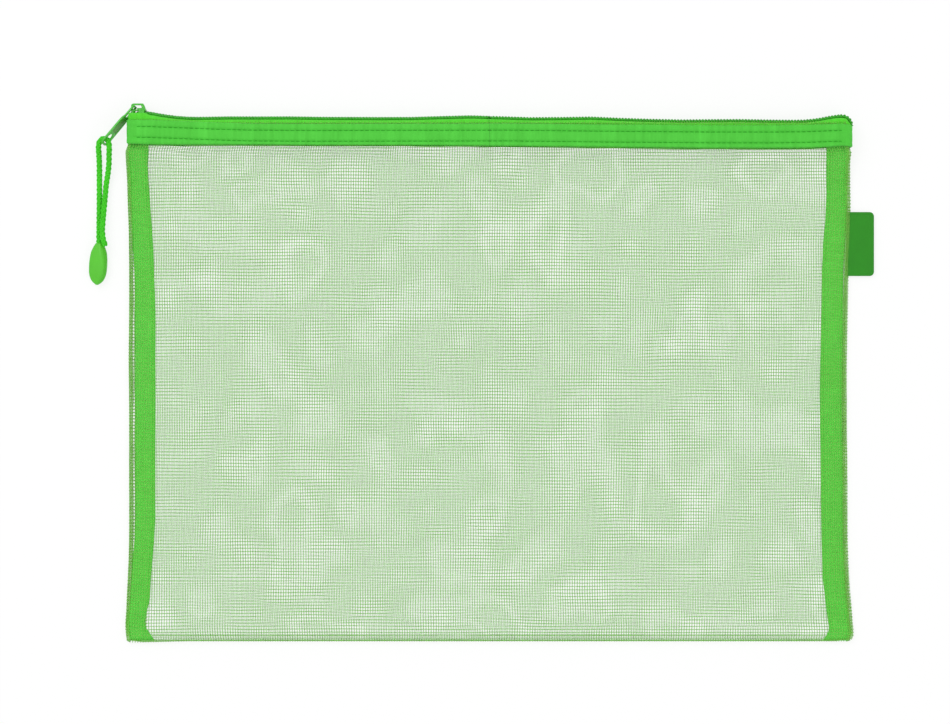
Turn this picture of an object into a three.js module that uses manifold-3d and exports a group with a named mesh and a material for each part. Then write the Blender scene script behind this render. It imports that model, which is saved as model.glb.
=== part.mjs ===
// A flat zipper pouch of green net for A4 papers, lying on its back with the closed zipper at +Y.
// Millimetres, +Z up, +X along the zipper. The origin is the middle of the flat face it lies on.
import * as THREE from "three";
import { mergeVertices } from "three/addons/utils/BufferGeometryUtils.js";
import Module from "manifold-3d";

const wasm = await Module();
wasm.setup();

// Pouch
const POUCH_WIDTH = 330;
const POUCH_HEIGHT = 240; // from the bottom fold to the top of the zipper's coils
const NET_THICKNESS = 0.5;
const FOLD_RADIUS = 1.5; // outside of the bottom fold, where one sheet turns from back to front
const FOLD_RISE_LENGTH = 14; // how soon the front net stands off the back above the fold
const LOW_DEPTH = 6; // under the front net, just above the fold
const SIDE_ROUNDING = 20; // width over which the front net falls to the side edges
const CORNER_LENGTH = 10; // length over which the side edges rise to the zipper's ends
const SIDE_WALL_WIDTH = 1.5; // the turned edge of the net at each side seam
const SIDE_WALL_HEIGHT = 2.2;
const ALLOWANCE_THICKNESS = 0.7; // the two seam allowances of net, sewn flat on each other
const ALLOWANCE_HEIGHT = 1.15; // underside of the allowances above the table

// Openings that stand for the fine holes of the net
const OPENINGS_ACROSS = 8;
const OPENINGS_UP = 6;
const OPENING_BAR = 7; // net left between two openings
const OPENING_SIDE_MARGIN = 16.5; // from the pouch's side edge to the first opening
const OPENING_FOLD_MARGIN = 16; // from the bottom fold to the lowest openings
const OPENING_RAMP_MARGIN = 2; // from the highest openings to the ramp under the band

// Bindings round the seam allowances inside the pouch
const BINDING_INSET = 2.7; // from the pouch's side edge
const BINDING_WIDTH = 9.1;
const BINDING_THICKNESS = 0.45;
const ALLOWANCE_INSET = 10.5; // raw edge of the allowances, measured from the pouch's side edge

// Covering bands along the zipper
const BAND_WIDTH = 10.4;
const BAND_SETBACK = 1.5; // from the tapes' outer face down to the band's upper edge
const BAND_THICKNESS = 0.6;
const BAND_ROLL_RADIUS = 0.28;
const RAMP_LENGTH = 2.4; // over which the nets step up under the band

// Zipper chain, whose middle stands over the pouch's top edge
const CHAIN_DEPTH = 4.8; // middle of the chain above the table
const TAPE_THICKNESS = 0.5;
const TAPE_LAP = 10.9; // from the tape's outer face to its lower edge under the band
const TAPE_BEND_RADIUS = 1.2;
const TAPE_BEND_STEPS = 4;
const TAPE_EDGE = 1.1; // half of the slit between the two tapes
const TAPE_START_INSET = 2.5; // from the pouch's side edge to the tape's end below the slider
const TAPE_END_INSET = 1; // from the pouch's side edge to the tape's other end
const CHAIN_RISE = 1.8; // how much higher the chain stands in the slider than along the pouch
const CHAIN_RISE_INSET = 10; // from the pouch's side edge to where the chain starts to come down
const CHAIN_RISE_LENGTH = 16; // over which it comes down
const CHAIN_RISE_STEPS = 5;
const COIL_HEIGHT = 1.8;
const COIL_PITCH = 2;
const COIL_OUTER = 2.1; // from the chain's middle to the outside of a coil
const COIL_INNER = 0.65; // from the chain's middle to the root of the teeth
const TOOTH_REACH = 0.45; // how far a tooth passes the chain's middle
const TOOTH_ROOT_WIDTH = 0.6;
const TOOTH_TIP_WIDTH = 0.4;
const COIL_BLOCK_TEETH = 3; // teeth between two corners of a coil's spine
const COIL_START_INSET = 4.2; // from the pouch's side edge to the coil's end in the slider
const COIL_END_INSET = 2; // from the pouch's side edge to the coil's other end

// Slider
const SLIDER_LENGTH = 7;
const SLIDER_END_INSET = 1.9; // from the pouch's side edge to the slider's nose
const TOP_PLATE_THICKNESS = 0.7;
const TOP_PLATE_WIDTH = 6.8;
const BOTTOM_PLATE_THICKNESS = 1;
const BOTTOM_PLATE_WIDTH = 5.4;
const FLANGE_WIDTH = 0.75;
const LOWER_FLANGE_WIDTH = 0.6;
const LOWER_FLANGE_HEIGHT = 0.4;
const SHOULDER_SETBACK = 3; // from the nose to the plate's shoulders, which leaves the pull its room
const DIAMOND_LENGTH = 2;
const DIAMOND_WIDTH = 1.6;
const BRIDGE_WIDTH = 1.4;
const BRIDGE_HEIGHT = 2.75;
const BRIDGE_LENGTH = 6.8;
const BRIDGE_BAR = 0.8;
const BRIDGE_SHOULDER = 1.3; // size of its rounded corners
const BRIDGE_SLOPE = 1; // how far its heel leans forward
const BRIDGE_HOLE_END = 4.8; // from the nose to the end of its hole
const BRIDGE_ROOT_START = 2.8; // from the nose to where its thick root begins
const BRIDGE_ROOT_HEIGHT = 0.7;
const EDGE_ROUNDING = 0.15;

// Pull tab
const PULL_ANGLE = 230; // degrees from +X, so the tab lies down past the pouch's corner
const PULL_TILT = 20; // degrees about its own length
const PULL_LENGTH = 22.5; // from the hinge bar's middle to the far end
const PULL_WIDTH = 7;
const PULL_THICKNESS = 0.8;
const HINGE_END_WIDTH = 3.8;
const HINGE_WINDOW_WIDTH = 2.6;
const HINGE_WINDOW_LENGTH = 6.2;
const HINGE_BAR_RADIUS = 0.35;
const HINGE_SIDES = 12;
const HINGE_INSET = 0.85; // hinge bar's middle to the left side of the bridge's hole
const HINGE_DROP = 0.65; // hinge bar's middle to the top of the bridge's hole
const CORD_SLOT_LENGTH = 6.2;
const CORD_SLOT_WIDTH = 4.4;
const END_BAR_WIDTH = 1.2;
const PULL_CORNER_RADIUS = 1.3;

// Cord and its moulded end
const CORD_DIAMETER = 2.8;
const CORD_SIDES = 8;
const CORD_STEPS = 60;
const LOOP_RADIUS = 2.35; // of the cord's middle round the tab's end bar
const TIP_LENGTH = 19;
const TIP_WIDTH = 8.4;
const TIP_THICKNESS = 5.6;
const TIP_LEAN = 3.5; // degrees, so that its point lies further out than its mouth
const TIP_DROP = 45.3; // from the end bar's middle to the tip's mouth
const TIP_SHIFT = 2.2; // from the end bar's middle, outwards, to the tip's mouth
const TIP_REST = 0.1; // lowest point of the tip above the table
const GROOVE_ROOM = 0.75; // how much wider the tip's groove is than the cord

// Label sewn into the side seam
const LABEL_WIDTH = 12.8;
const LABEL_HEIGHT = 29.2;
const LABEL_THICKNESS = 0.8;
const LABEL_INSET = 2.4; // how far it reaches into the side seam
const LABEL_DROP = 58.3; // from the top of the zipper to the label's middle
const LABEL_CORNER_RADIUS = 2;

// Fits
const LAYER_GAP = 0.1; // between layers that lie flat on each other
const CLEARANCE = 0.3; // between pieces that run or are formed round each other
const MERGE_DISTANCE = 1e-4; // corners closer than this are one

// Places that follow from the sizes
const SIDE = POUCH_WIDTH / 2;
const FOLD_Y = -POUCH_HEIGHT / 2;
const COIL_TOP_Y = POUCH_HEIGHT / 2;
const CHAIN_Y = COIL_TOP_Y - COIL_HEIGHT - LAYER_GAP; // outer face of the tapes
const BAND_TOP_Y = CHAIN_Y - BAND_SETBACK;
const BAND_BOTTOM_Y = BAND_TOP_Y - BAND_WIDTH;
const NET_TOP_Y = BAND_TOP_Y - LAYER_GAP;
const FOLD_CENTRE_Y = FOLD_Y + FOLD_RADIUS;
const RAMP_END_Y = BAND_BOTTOM_Y - CLEARANCE;
const RAMP_START_Y = RAMP_END_Y - RAMP_LENGTH;
const NET_EDGE_Z = BAND_THICKNESS + LAYER_GAP;
const TAPE_Z = NET_EDGE_Z + NET_THICKNESS + LAYER_GAP;
const FRONT_NET_TOP_Z = 2 * CHAIN_DEPTH - NET_EDGE_Z - NET_THICKNESS;
const FRONT_NET_FOLD_Z = 2 * FOLD_RADIUS - NET_THICKNESS;
const LABEL_CENTRE_Y = COIL_TOP_Y - LABEL_DROP;
const SLIDER_X = -SIDE + SLIDER_END_INSET + SLIDER_LENGTH / 2;
const SLIDER_Y = CHAIN_Y + CHAIN_RISE;

// One material for each finish
const GREEN = {
  net: "#7fd86a",
  band: "#4bd542",
  tape: "#3fbf36",
  coil: "#1ea023",
  tag: "#3ea02d",
  slider: "#48c23c",
  pull: "#3f9a34",
  cord: "#46c838",
  tip: "#55c84a",
};
function finish(color, roughness, metalness = 0) {
  return new THREE.MeshStandardMaterial({ color, roughness, metalness });
}

function mesh(name, geometry, material) {
  const made = new THREE.Mesh(geometry, material);
  made.name = name;
  return made;
}

// A closed geometry as a solid that can be joined and cut
function solid(geometry) {
  const bare = geometry.index ? geometry.toNonIndexed() : geometry.clone();
  bare.deleteAttribute("normal");
  bare.deleteAttribute("uv");
  const merged = mergeVertices(bare, MERGE_DISTANCE);
  return new wasm.Manifold(
    new wasm.Mesh({
      numProp: 3,
      vertProperties: merged.attributes.position.array,
      triVerts: new Uint32Array(merged.index.array),
    }),
  );
}

function geometryOf(made) {
  const { vertProperties, triVerts } = made.getMesh();
  const geometry = new THREE.BufferGeometry();
  geometry.setAttribute("position", new THREE.BufferAttribute(vertProperties, 3));
  geometry.setIndex(new THREE.BufferAttribute(triVerts, 1));
  geometry.computeVertexNormals();
  return geometry;
}

function join(...geometries) {
  return geometries.map(solid).reduce((sum, next) => sum.add(next));
}

function outline(points) {
  return new THREE.Shape(points.map(([u, v]) => new THREE.Vector2(u, v)));
}

// A mesh from triangles that are given corner by corner
function geometryFrom(corners) {
  const loose = new THREE.BufferGeometry();
  loose.setAttribute("position", new THREE.Float32BufferAttribute(corners.flat(), 3));
  const made = mergeVertices(loose, MERGE_DISTANCE);
  made.computeVertexNormals();
  return made;
}

// The same outline, turned counterclockwise, and the triangles that fill it
function filled(points) {
  const flat = points.map(([u, v]) => new THREE.Vector2(u, v));
  const turned = THREE.ShapeUtils.isClockWise(flat);
  const loop = turned ? points.toReversed() : points;
  const triangles = THREE.ShapeUtils.triangulateShape(turned ? flat.toReversed() : flat, []);
  return { loop, triangles };
}

// Prisms: the section is drawn in the two axes that the name gives, and runs along the third
function alongX(shapeYZ, from, to, curveSegments = 8) {
  const made = new THREE.ExtrudeGeometry(shapeYZ, { depth: to - from, bevelEnabled: false, curveSegments });
  made.applyMatrix4(new THREE.Matrix4().set(0, 0, 1, from, 1, 0, 0, 0, 0, 1, 0, 0, 0, 0, 0, 1));
  return made;
}

function alongY(shapeZX, from, to, curveSegments = 8) {
  const made = new THREE.ExtrudeGeometry(shapeZX, { depth: to - from, bevelEnabled: false, curveSegments });
  made.applyMatrix4(new THREE.Matrix4().set(0, 1, 0, 0, 0, 0, 1, from, 1, 0, 0, 0, 0, 0, 0, 1));
  return made;
}

// A prism along its own Z between two heights, with softened edges and the outline kept
function roundedPrism(shape, from, to, rounding = EDGE_ROUNDING, curveSegments = 8) {
  const made = new THREE.ExtrudeGeometry(shape, {
    depth: to - from - 2 * rounding,
    bevelThickness: rounding,
    bevelSize: rounding,
    bevelOffset: -rounding,
    bevelSegments: 2,
    curveSegments,
  });
  made.translate(0, 0, from + rounding);
  return made;
}

function box(x0, x1, y0, y1, z0, z1) {
  const made = new THREE.BoxGeometry(x1 - x0, y1 - y0, z1 - z0);
  made.translate((x0 + x1) / 2, (y0 + y1) / 2, (z0 + z1) / 2);
  return made;
}

// A closed skin over rings that have the same number of points, with a flat fan at each end
function loft(rings) {
  const count = rings[0].length;
  const points = rings.flat();
  const faces = [];
  rings.slice(1).forEach((_, row) => {
    for (let i = 0; i < count; i++) {
      const a = row * count + i;
      const b = row * count + ((i + 1) % count);
      faces.push(a, b, b + count, a, b + count, a + count);
    }
  });
  const last = (rings.length - 1) * count;
  for (let i = 1; i < count - 1; i++) {
    faces.push(0, i + 1, i, last, last + i, last + i + 1);
  }
  const geometry = new THREE.BufferGeometry();
  geometry.setAttribute("position", new THREE.Float32BufferAttribute(points.flat(), 3));
  geometry.setIndex(faces);
  geometry.computeVertexNormals();
  return geometry;
}

// Pieces of the back lie at these heights, and their mates of the front are mirrored in the chain's middle
function mirrored(height, front) {
  return front ? 2 * CHAIN_DEPTH - height : height;
}

function smooth(t) {
  const c = Math.min(1, Math.max(0, t));
  return c * c * (3 - 2 * c);
}

// How far the chain stands above its straight run: all of it in the slider, and none along the pouch
function chainRise(x) {
  return CHAIN_RISE * (1 - smooth((x + SIDE - CHAIN_RISE_INSET) / CHAIN_RISE_LENGTH));
}

// Openings in one direction, as pairs of their two edges
function openings(from, to, count) {
  const pitch = (to - from + OPENING_BAR) / count;
  return Array.from({ length: count }, (_, i) => [from + i * pitch, from + (i + 1) * pitch - OPENING_BAR]);
}

const OPENING_X = openings(-SIDE + OPENING_SIDE_MARGIN, SIDE - OPENING_SIDE_MARGIN, OPENINGS_ACROSS);
const OPENING_Y = openings(FOLD_Y + OPENING_FOLD_MARGIN, RAMP_START_Y - OPENING_RAMP_MARGIN, OPENINGS_UP);

// Nets

function backNetSection() {
  const shape = new THREE.Shape();
  const inner = FOLD_RADIUS - NET_THICKNESS;
  shape.moveTo(FOLD_CENTRE_Y, 2 * FOLD_RADIUS);
  shape.absarc(FOLD_CENTRE_Y, FOLD_RADIUS, FOLD_RADIUS, Math.PI / 2, (3 * Math.PI) / 2, false);
  shape.lineTo(RAMP_START_Y, 0);
  shape.lineTo(RAMP_END_Y, NET_EDGE_Z);
  shape.lineTo(NET_TOP_Y, NET_EDGE_Z);
  shape.lineTo(NET_TOP_Y, NET_EDGE_Z + NET_THICKNESS);
  shape.lineTo(RAMP_END_Y, NET_EDGE_Z + NET_THICKNESS);
  shape.lineTo(RAMP_START_Y, NET_THICKNESS);
  shape.lineTo(FOLD_CENTRE_Y, NET_THICKNESS);
  shape.absarc(FOLD_CENTRE_Y, FOLD_RADIUS, inner, (3 * Math.PI) / 2, Math.PI / 2, true);
  return shape;
}

// The turned edge at one side seam and the seam allowances that run back into the pouch
function sideSeamSection(side) {
  const outer = side * SIDE;
  const wall = side * (SIDE - SIDE_WALL_WIDTH);
  const raw = side * (SIDE - ALLOWANCE_INSET);
  return outline([
    [0, outer],
    [SIDE_WALL_HEIGHT, outer],
    [SIDE_WALL_HEIGHT, wall],
    [ALLOWANCE_HEIGHT + ALLOWANCE_THICKNESS, wall],
    [ALLOWANCE_HEIGHT + ALLOWANCE_THICKNESS, raw],
    [ALLOWANCE_HEIGHT, raw],
    [ALLOWANCE_HEIGHT, wall],
    [0, wall],
  ]);
}

const SEAM_TOP_Y = RAMP_START_Y - CLEARANCE;
const LABEL_Z = ALLOWANCE_HEIGHT + LAYER_GAP / 2;

function backNet() {
  const sheet = alongX(backNetSection(), -SIDE, SIDE, 8);
  const left = alongY(sideSeamSection(-1), FOLD_CENTRE_Y, SEAM_TOP_Y);
  const right = alongY(sideSeamSection(1), FOLD_CENTRE_Y, SEAM_TOP_Y);
  const notch = box(
    SIDE - LABEL_INSET - CLEARANCE,
    SIDE + CLEARANCE,
    LABEL_CENTRE_Y - LABEL_HEIGHT / 2 - CLEARANCE,
    LABEL_CENTRE_Y + LABEL_HEIGHT / 2 + CLEARANCE,
    LABEL_Z - CLEARANCE,
    SIDE_WALL_HEIGHT + CLEARANCE,
  );
  const holes = OPENING_X.flatMap(([x0, x1]) =>
    OPENING_Y.map(([y0, y1]) => box(x0, x1, y0, y1, -CLEARANCE, NET_THICKNESS + CLEARANCE)),
  );
  return geometryOf(join(sheet, left, right).subtract(solid(notch)).subtract(join(...holes)));
}

// Underside of the front net: flat under the band, low at the fold and falling to the side edges
function frontNetUnderside(x, y) {
  const start = FOLD_CENTRE_Y + CLEARANCE;
  const rise = Math.min(1, (y - start) / FOLD_RISE_LENGTH);
  const climb = smooth((y - start) / (RAMP_START_Y - start));
  const low = THREE.MathUtils.lerp(FRONT_NET_FOLD_Z, LOW_DEPTH, Math.sqrt(rise));
  const middle = THREE.MathUtils.lerp(low, FRONT_NET_TOP_Z, climb);
  const corner = smooth((y - (RAMP_END_Y - CORNER_LENGTH)) / CORNER_LENGTH);
  const edge = THREE.MathUtils.lerp(FRONT_NET_FOLD_Z, FRONT_NET_TOP_Z, corner);
  const inward = Math.min(1, (SIDE - Math.abs(x)) / SIDE_ROUNDING);
  return THREE.MathUtils.lerp(edge, middle, Math.sin((inward * Math.PI) / 2));
}

// Where the front net bends, as shares of the lengths over which it does
const SIDE_BENDS = [0, 0.08, 0.2, 0.35, 0.55];
const FOLD_BENDS = [0, 0.06, 0.2, 0.5];
const CORNER_BENDS = [1, 0.72, 0.22, 0];

// The front net as a grid of cells. Those inside an opening are left out, with walls round them.
function frontNet() {
  const start = FOLD_CENTRE_Y + CLEARANCE;
  const sides = SIDE_BENDS.flatMap((share) => [-1, 1].map((side) => side * (SIDE - share * SIDE_ROUNDING)));
  const folds = FOLD_BENDS.map((share) => start + share * FOLD_RISE_LENGTH);
  const corners = CORNER_BENDS.map((share) => RAMP_END_Y - share * CORNER_LENGTH);
  const inOrder = (list) => list.toSorted((a, b) => a - b);
  const xs = inOrder([...sides, ...OPENING_X.flat()]);
  const ys = inOrder([...folds, ...corners, ...OPENING_Y.flat(), NET_TOP_Y]);
  const inOpening = (spans, edges, i) => {
    const middle = (edges[i] + edges[i + 1]) / 2;
    return spans.some(([from, to]) => middle > from && middle < to);
  };
  const isNet = (i, j) =>
    i >= 0 && j >= 0 && i < xs.length - 1 && j < ys.length - 1 &&
    !(inOpening(OPENING_X, xs, i) && inOpening(OPENING_Y, ys, j));
  const under = ([i, j]) => [xs[i], ys[j], frontNetUnderside(xs[i], ys[j])];
  const over = ([i, j]) => [xs[i], ys[j], frontNetUnderside(xs[i], ys[j]) + NET_THICKNESS];
  const faces = [];
  for (let i = 0; i < xs.length - 1; i++) {
    for (let j = 0; j < ys.length - 1; j++) {
      if (!isNet(i, j)) continue;
      const ring = [[i, j], [i + 1, j], [i + 1, j + 1], [i, j + 1]];
      const beside = [[i, j - 1], [i + 1, j], [i, j + 1], [i - 1, j]];
      const [a, b, c, d] = ring;
      faces.push(over(a), over(b), over(c), over(a), over(c), over(d));
      faces.push(under(a), under(c), under(b), under(a), under(d), under(c));
      ring.forEach((from, k) => {
        if (isNet(...beside[k])) return;
        const to = ring[(k + 1) % ring.length];
        faces.push(under(from), under(to), over(to), under(from), over(to), over(from));
      });
    }
  }
  return geometryFrom(faces);
}

// Covering band: a flat strip whose long edges are rolled
function band(front) {
  const low = mirrored(0, front);
  const high = mirrored(BAND_THICKNESS, front);
  const section = new THREE.Shape();
  const r = BAND_ROLL_RADIUS;
  const [z0, z1] = [Math.min(low, high), Math.max(low, high)];
  section.absarc(BAND_TOP_Y - r, z1 - r, r, 0, Math.PI / 2, false);
  section.absarc(BAND_BOTTOM_Y + r, z1 - r, r, Math.PI / 2, Math.PI, false);
  section.absarc(BAND_BOTTOM_Y + r, z0 + r, r, Math.PI, 1.5 * Math.PI, false);
  section.absarc(BAND_TOP_Y - r, z0 + r, r, 1.5 * Math.PI, 2 * Math.PI, false);
  return alongX(section, -SIDE, SIDE, 4);
}

// Tape: one leg under the band and one across the top edge, up to the slit of the zipper
function tapeSection(front) {
  const bendY = CHAIN_Y - TAPE_BEND_RADIUS;
  const bendZ = TAPE_Z + TAPE_BEND_RADIUS;
  const points = [[CHAIN_Y - TAPE_LAP, TAPE_Z + TAPE_THICKNESS], [CHAIN_Y - TAPE_LAP, TAPE_Z]];
  const turn = (radius, step) => {
    const angle = -Math.PI / 2 + (step / TAPE_BEND_STEPS) * (Math.PI / 2);
    return [bendY + radius * Math.cos(angle), bendZ + radius * Math.sin(angle)];
  };
  for (let i = 0; i <= TAPE_BEND_STEPS; i++) points.push(turn(TAPE_BEND_RADIUS, i));
  const edge = CHAIN_DEPTH - TAPE_EDGE;
  points.push([CHAIN_Y, edge], [CHAIN_Y - TAPE_THICKNESS, edge]);
  for (let i = TAPE_BEND_STEPS; i >= 0; i--) points.push(turn(TAPE_BEND_RADIUS - TAPE_THICKNESS, i));
  return points.map(([y, z]) => [y, mirrored(z, front)]);
}

// The tape follows the chain's rise with its outer face, and its lower edge stays straight
function tape(front) {
  const { loop, triangles } = filled(tapeSection(front));
  const bent = Array.from(
    { length: CHAIN_RISE_STEPS + 1 },
    (_, i) => -SIDE + CHAIN_RISE_INSET + (i / CHAIN_RISE_STEPS) * CHAIN_RISE_LENGTH,
  );
  const rings = [-SIDE + TAPE_START_INSET, ...bent, SIDE - TAPE_END_INSET].map((x) =>
    loop.map(([y, z]) => [x, y + chainRise(x) * Math.max(0, 1 - (CHAIN_Y - y) / TAPE_LAP), z]),
  );
  const faces = [];
  const [first, last] = [rings[0], rings.at(-1)];
  triangles.forEach(([a, b, c]) => faces.push(last[a], last[b], last[c], first[a], first[c], first[b]));
  rings.slice(1).forEach((far, row) => {
    const near = rings[row];
    loop.forEach((_, i) => {
      const j = (i + 1) % loop.length;
      faces.push(far[j], far[i], near[i], far[j], near[i], near[j]);
    });
  });
  return geometryFrom(faces);
}

// One side of the coil chain, cut into short blocks so that it can follow the chain's rise:
// a spine with teeth that pass between those of the other side
function coil(front) {
  const from = -SIDE + COIL_START_INSET;
  const to = SIDE - COIL_END_INSET;
  const teeth = Math.floor((to - from) / COIL_PITCH - 1);
  const start = (from + to - teeth * COIL_PITCH) / 2 + (front ? COIL_PITCH / 2 : 0);
  const [outer, root] = [CHAIN_DEPTH - COIL_OUTER, CHAIN_DEPTH - COIL_INNER];
  const tip = CHAIN_DEPTH + TOOTH_REACH;
  const faces = [];
  for (let i = 0; i < teeth; i += COIL_BLOCK_TEETH) {
    const next = Math.min(teeth, i + COIL_BLOCK_TEETH);
    const left = i === 0 ? from : start + (i - 0.5) * COIL_PITCH;
    const right = next === teeth ? to : start + (next - 0.5) * COIL_PITCH;
    const points = [[left, root], [left, outer], [right, outer], [right, root]];
    for (let k = next - 1; k >= i; k--) {
      const middle = start + k * COIL_PITCH;
      points.push([middle + TOOTH_ROOT_WIDTH / 2, root], [middle + TOOTH_TIP_WIDTH / 2, tip]);
      points.push([middle - TOOTH_TIP_WIDTH / 2, tip], [middle - TOOTH_ROOT_WIDTH / 2, root]);
    }
    const isCut = (x) => (x === left && i > 0) || (x === right && next < teeth);
    const { loop, triangles } = filled(points.map(([x, z]) => [x, mirrored(z, front)]));
    const low = loop.map(([x, z]) => [x, CHAIN_Y + LAYER_GAP + chainRise(x), z]);
    const high = loop.map(([x, z]) => [x, COIL_TOP_Y + chainRise(x), z]);
    triangles.forEach(([a, b, c]) => faces.push(low[a], low[b], low[c], high[a], high[c], high[b]));
    loop.forEach(([x], a) => {
      const b = (a + 1) % loop.length;
      if (loop[b][0] === x && isCut(x)) return;
      faces.push(low[b], low[a], high[a], low[b], high[a], high[b]);
    });
  }
  return geometryFrom(faces);
}

// Binding: a tape folded over the raw edge of the seam allowances
function binding(side) {
  const raw = ALLOWANCE_HEIGHT - LAYER_GAP; // underside of the room for the allowances
  const top = ALLOWANCE_HEIGHT + ALLOWANCE_THICKNESS + LAYER_GAP;
  const open = side * (SIDE - BINDING_INSET);
  const fold = side * (SIDE - BINDING_INSET - BINDING_WIDTH);
  const inner = fold + side * BINDING_THICKNESS;
  const section = outline([
    [raw - BINDING_THICKNESS, open],
    [raw, open],
    [raw, inner],
    [top, inner],
    [top, open],
    [top + BINDING_THICKNESS, open],
    [top + BINDING_THICKNESS, fold],
    [raw - BINDING_THICKNESS, fold],
  ]);
  return alongY(section, FOLD_CENTRE_Y + 2 * FOLD_RADIUS, SEAM_TOP_Y);
}

function label() {
  const [w, h, r] = [LABEL_WIDTH, LABEL_HEIGHT / 2, LABEL_CORNER_RADIUS];
  const shape = new THREE.Shape();
  shape.moveTo(0, -h);
  shape.lineTo(w - r, -h);
  shape.absarc(w - r, -h + r, r, -Math.PI / 2, 0, false);
  shape.absarc(w - r, h - r, r, 0, Math.PI / 2, false);
  shape.lineTo(0, h);
  return roundedPrism(shape, 0, LABEL_THICKNESS);
}

// Slider, drawn from the middle of its length at the tapes' outer face and the chain's middle:
// x along the chain with the nose at -x, y away from the pouch, z across the chain
const PLATE_BOTTOM = LAYER_GAP + COIL_HEIGHT + CLEARANCE;
const PLATE_TOP = PLATE_BOTTOM + TOP_PLATE_THICKNESS;
const LOWER_FLANGE_TOP = -TAPE_THICKNESS - CLEARANCE;
const BOTTOM_PLATE_TOP = LOWER_FLANGE_TOP - LOWER_FLANGE_HEIGHT;
const NOSE_X = -SLIDER_LENGTH / 2;
const TAIL_X = SLIDER_LENGTH / 2;
const SHOULDER_X = NOSE_X + SHOULDER_SETBACK;
const HINGE_X = NOSE_X + BRIDGE_BAR + HINGE_INSET;
const HINGE_Y = PLATE_TOP + BRIDGE_HEIGHT - BRIDGE_BAR - HINGE_DROP;

// Lays a prism drawn over x and z on its side, so that its own Z becomes the slider's y
function standUp(geometry) {
  geometry.applyMatrix4(new THREE.Matrix4().set(1, 0, 0, 0, 0, 0, 1, 0, 0, -1, 0, 0, 0, 0, 0, 1));
  return geometry;
}

function topPlate() {
  const half = TOP_PLATE_WIDTH / 2;
  const tongue = BRIDGE_WIDTH / 2;
  const shape = new THREE.Shape();
  shape.moveTo(NOSE_X, 0);
  shape.quadraticCurveTo(NOSE_X, tongue, NOSE_X + tongue, tongue);
  shape.lineTo(SHOULDER_X, tongue);
  shape.quadraticCurveTo(SHOULDER_X, half, SHOULDER_X + half / 2, half);
  shape.quadraticCurveTo(TAIL_X, half, TAIL_X, half / 2);
  shape.lineTo(TAIL_X, -half / 2);
  shape.quadraticCurveTo(TAIL_X, -half, SHOULDER_X + half / 2, -half);
  shape.quadraticCurveTo(SHOULDER_X, -half, SHOULDER_X, -tongue);
  shape.lineTo(NOSE_X + tongue, -tongue);
  shape.quadraticCurveTo(NOSE_X, -tongue, NOSE_X, 0);
  return standUp(roundedPrism(shape, PLATE_BOTTOM, PLATE_TOP, EDGE_ROUNDING, 5));
}

function bottomPlate() {
  const half = BOTTOM_PLATE_WIDTH / 2;
  const shape = new THREE.Shape();
  shape.moveTo(NOSE_X, 0);
  shape.quadraticCurveTo(NOSE_X, half, SHOULDER_X, half);
  shape.lineTo(TAIL_X - half / 2, half);
  shape.quadraticCurveTo(TAIL_X, half, TAIL_X, half / 2);
  shape.lineTo(TAIL_X, -half / 2);
  shape.quadraticCurveTo(TAIL_X, -half, TAIL_X - half / 2, -half);
  shape.lineTo(SHOULDER_X, -half);
  shape.quadraticCurveTo(NOSE_X, -half, NOSE_X, 0);
  const bottom = BOTTOM_PLATE_TOP - BOTTOM_PLATE_THICKNESS;
  return standUp(roundedPrism(shape, bottom, BOTTOM_PLATE_TOP, EDGE_ROUNDING, 5));
}

// Flanges hang from the top plate outside the coils, and short ones stand on the bottom plate
function flanges() {
  const start = SHOULDER_X + FLANGE_WIDTH;
  const end = TAIL_X - FLANGE_WIDTH;
  const inner = COIL_OUTER + CLEARANCE;
  const lower = BOTTOM_PLATE_WIDTH / 2 - LOWER_FLANGE_WIDTH;
  const buried = EDGE_ROUNDING;
  return [-1, 1].flatMap((side) => {
    const [upperIn, upperOut] = [side * inner, side * (inner + FLANGE_WIDTH)].sort((a, b) => a - b);
    const [lowerIn, lowerOut] = [side * lower, side * (lower + LOWER_FLANGE_WIDTH)].sort((a, b) => a - b);
    return [
      box(start, end, CLEARANCE, PLATE_BOTTOM + buried, upperIn, upperOut),
      box(start, end, BOTTOM_PLATE_TOP - buried, LOWER_FLANGE_TOP, lowerIn, lowerOut),
    ];
  });
}

function diamond() {
  const half = DIAMOND_WIDTH / 2;
  const shape = new THREE.Shape();
  shape.moveTo(NOSE_X, 0);
  shape.quadraticCurveTo(NOSE_X, half, NOSE_X + DIAMOND_LENGTH / 2, half);
  shape.lineTo(NOSE_X + DIAMOND_LENGTH, 0);
  shape.lineTo(NOSE_X + DIAMOND_LENGTH / 2, -half);
  shape.quadraticCurveTo(NOSE_X, -half, NOSE_X, 0);
  const from = BOTTOM_PLATE_TOP - EDGE_ROUNDING;
  const post = new THREE.ExtrudeGeometry(shape, {
    depth: PLATE_BOTTOM + EDGE_ROUNDING - from,
    bevelEnabled: false,
    curveSegments: 4,
  });
  post.translate(0, 0, from);
  return standUp(post);
}

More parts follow.
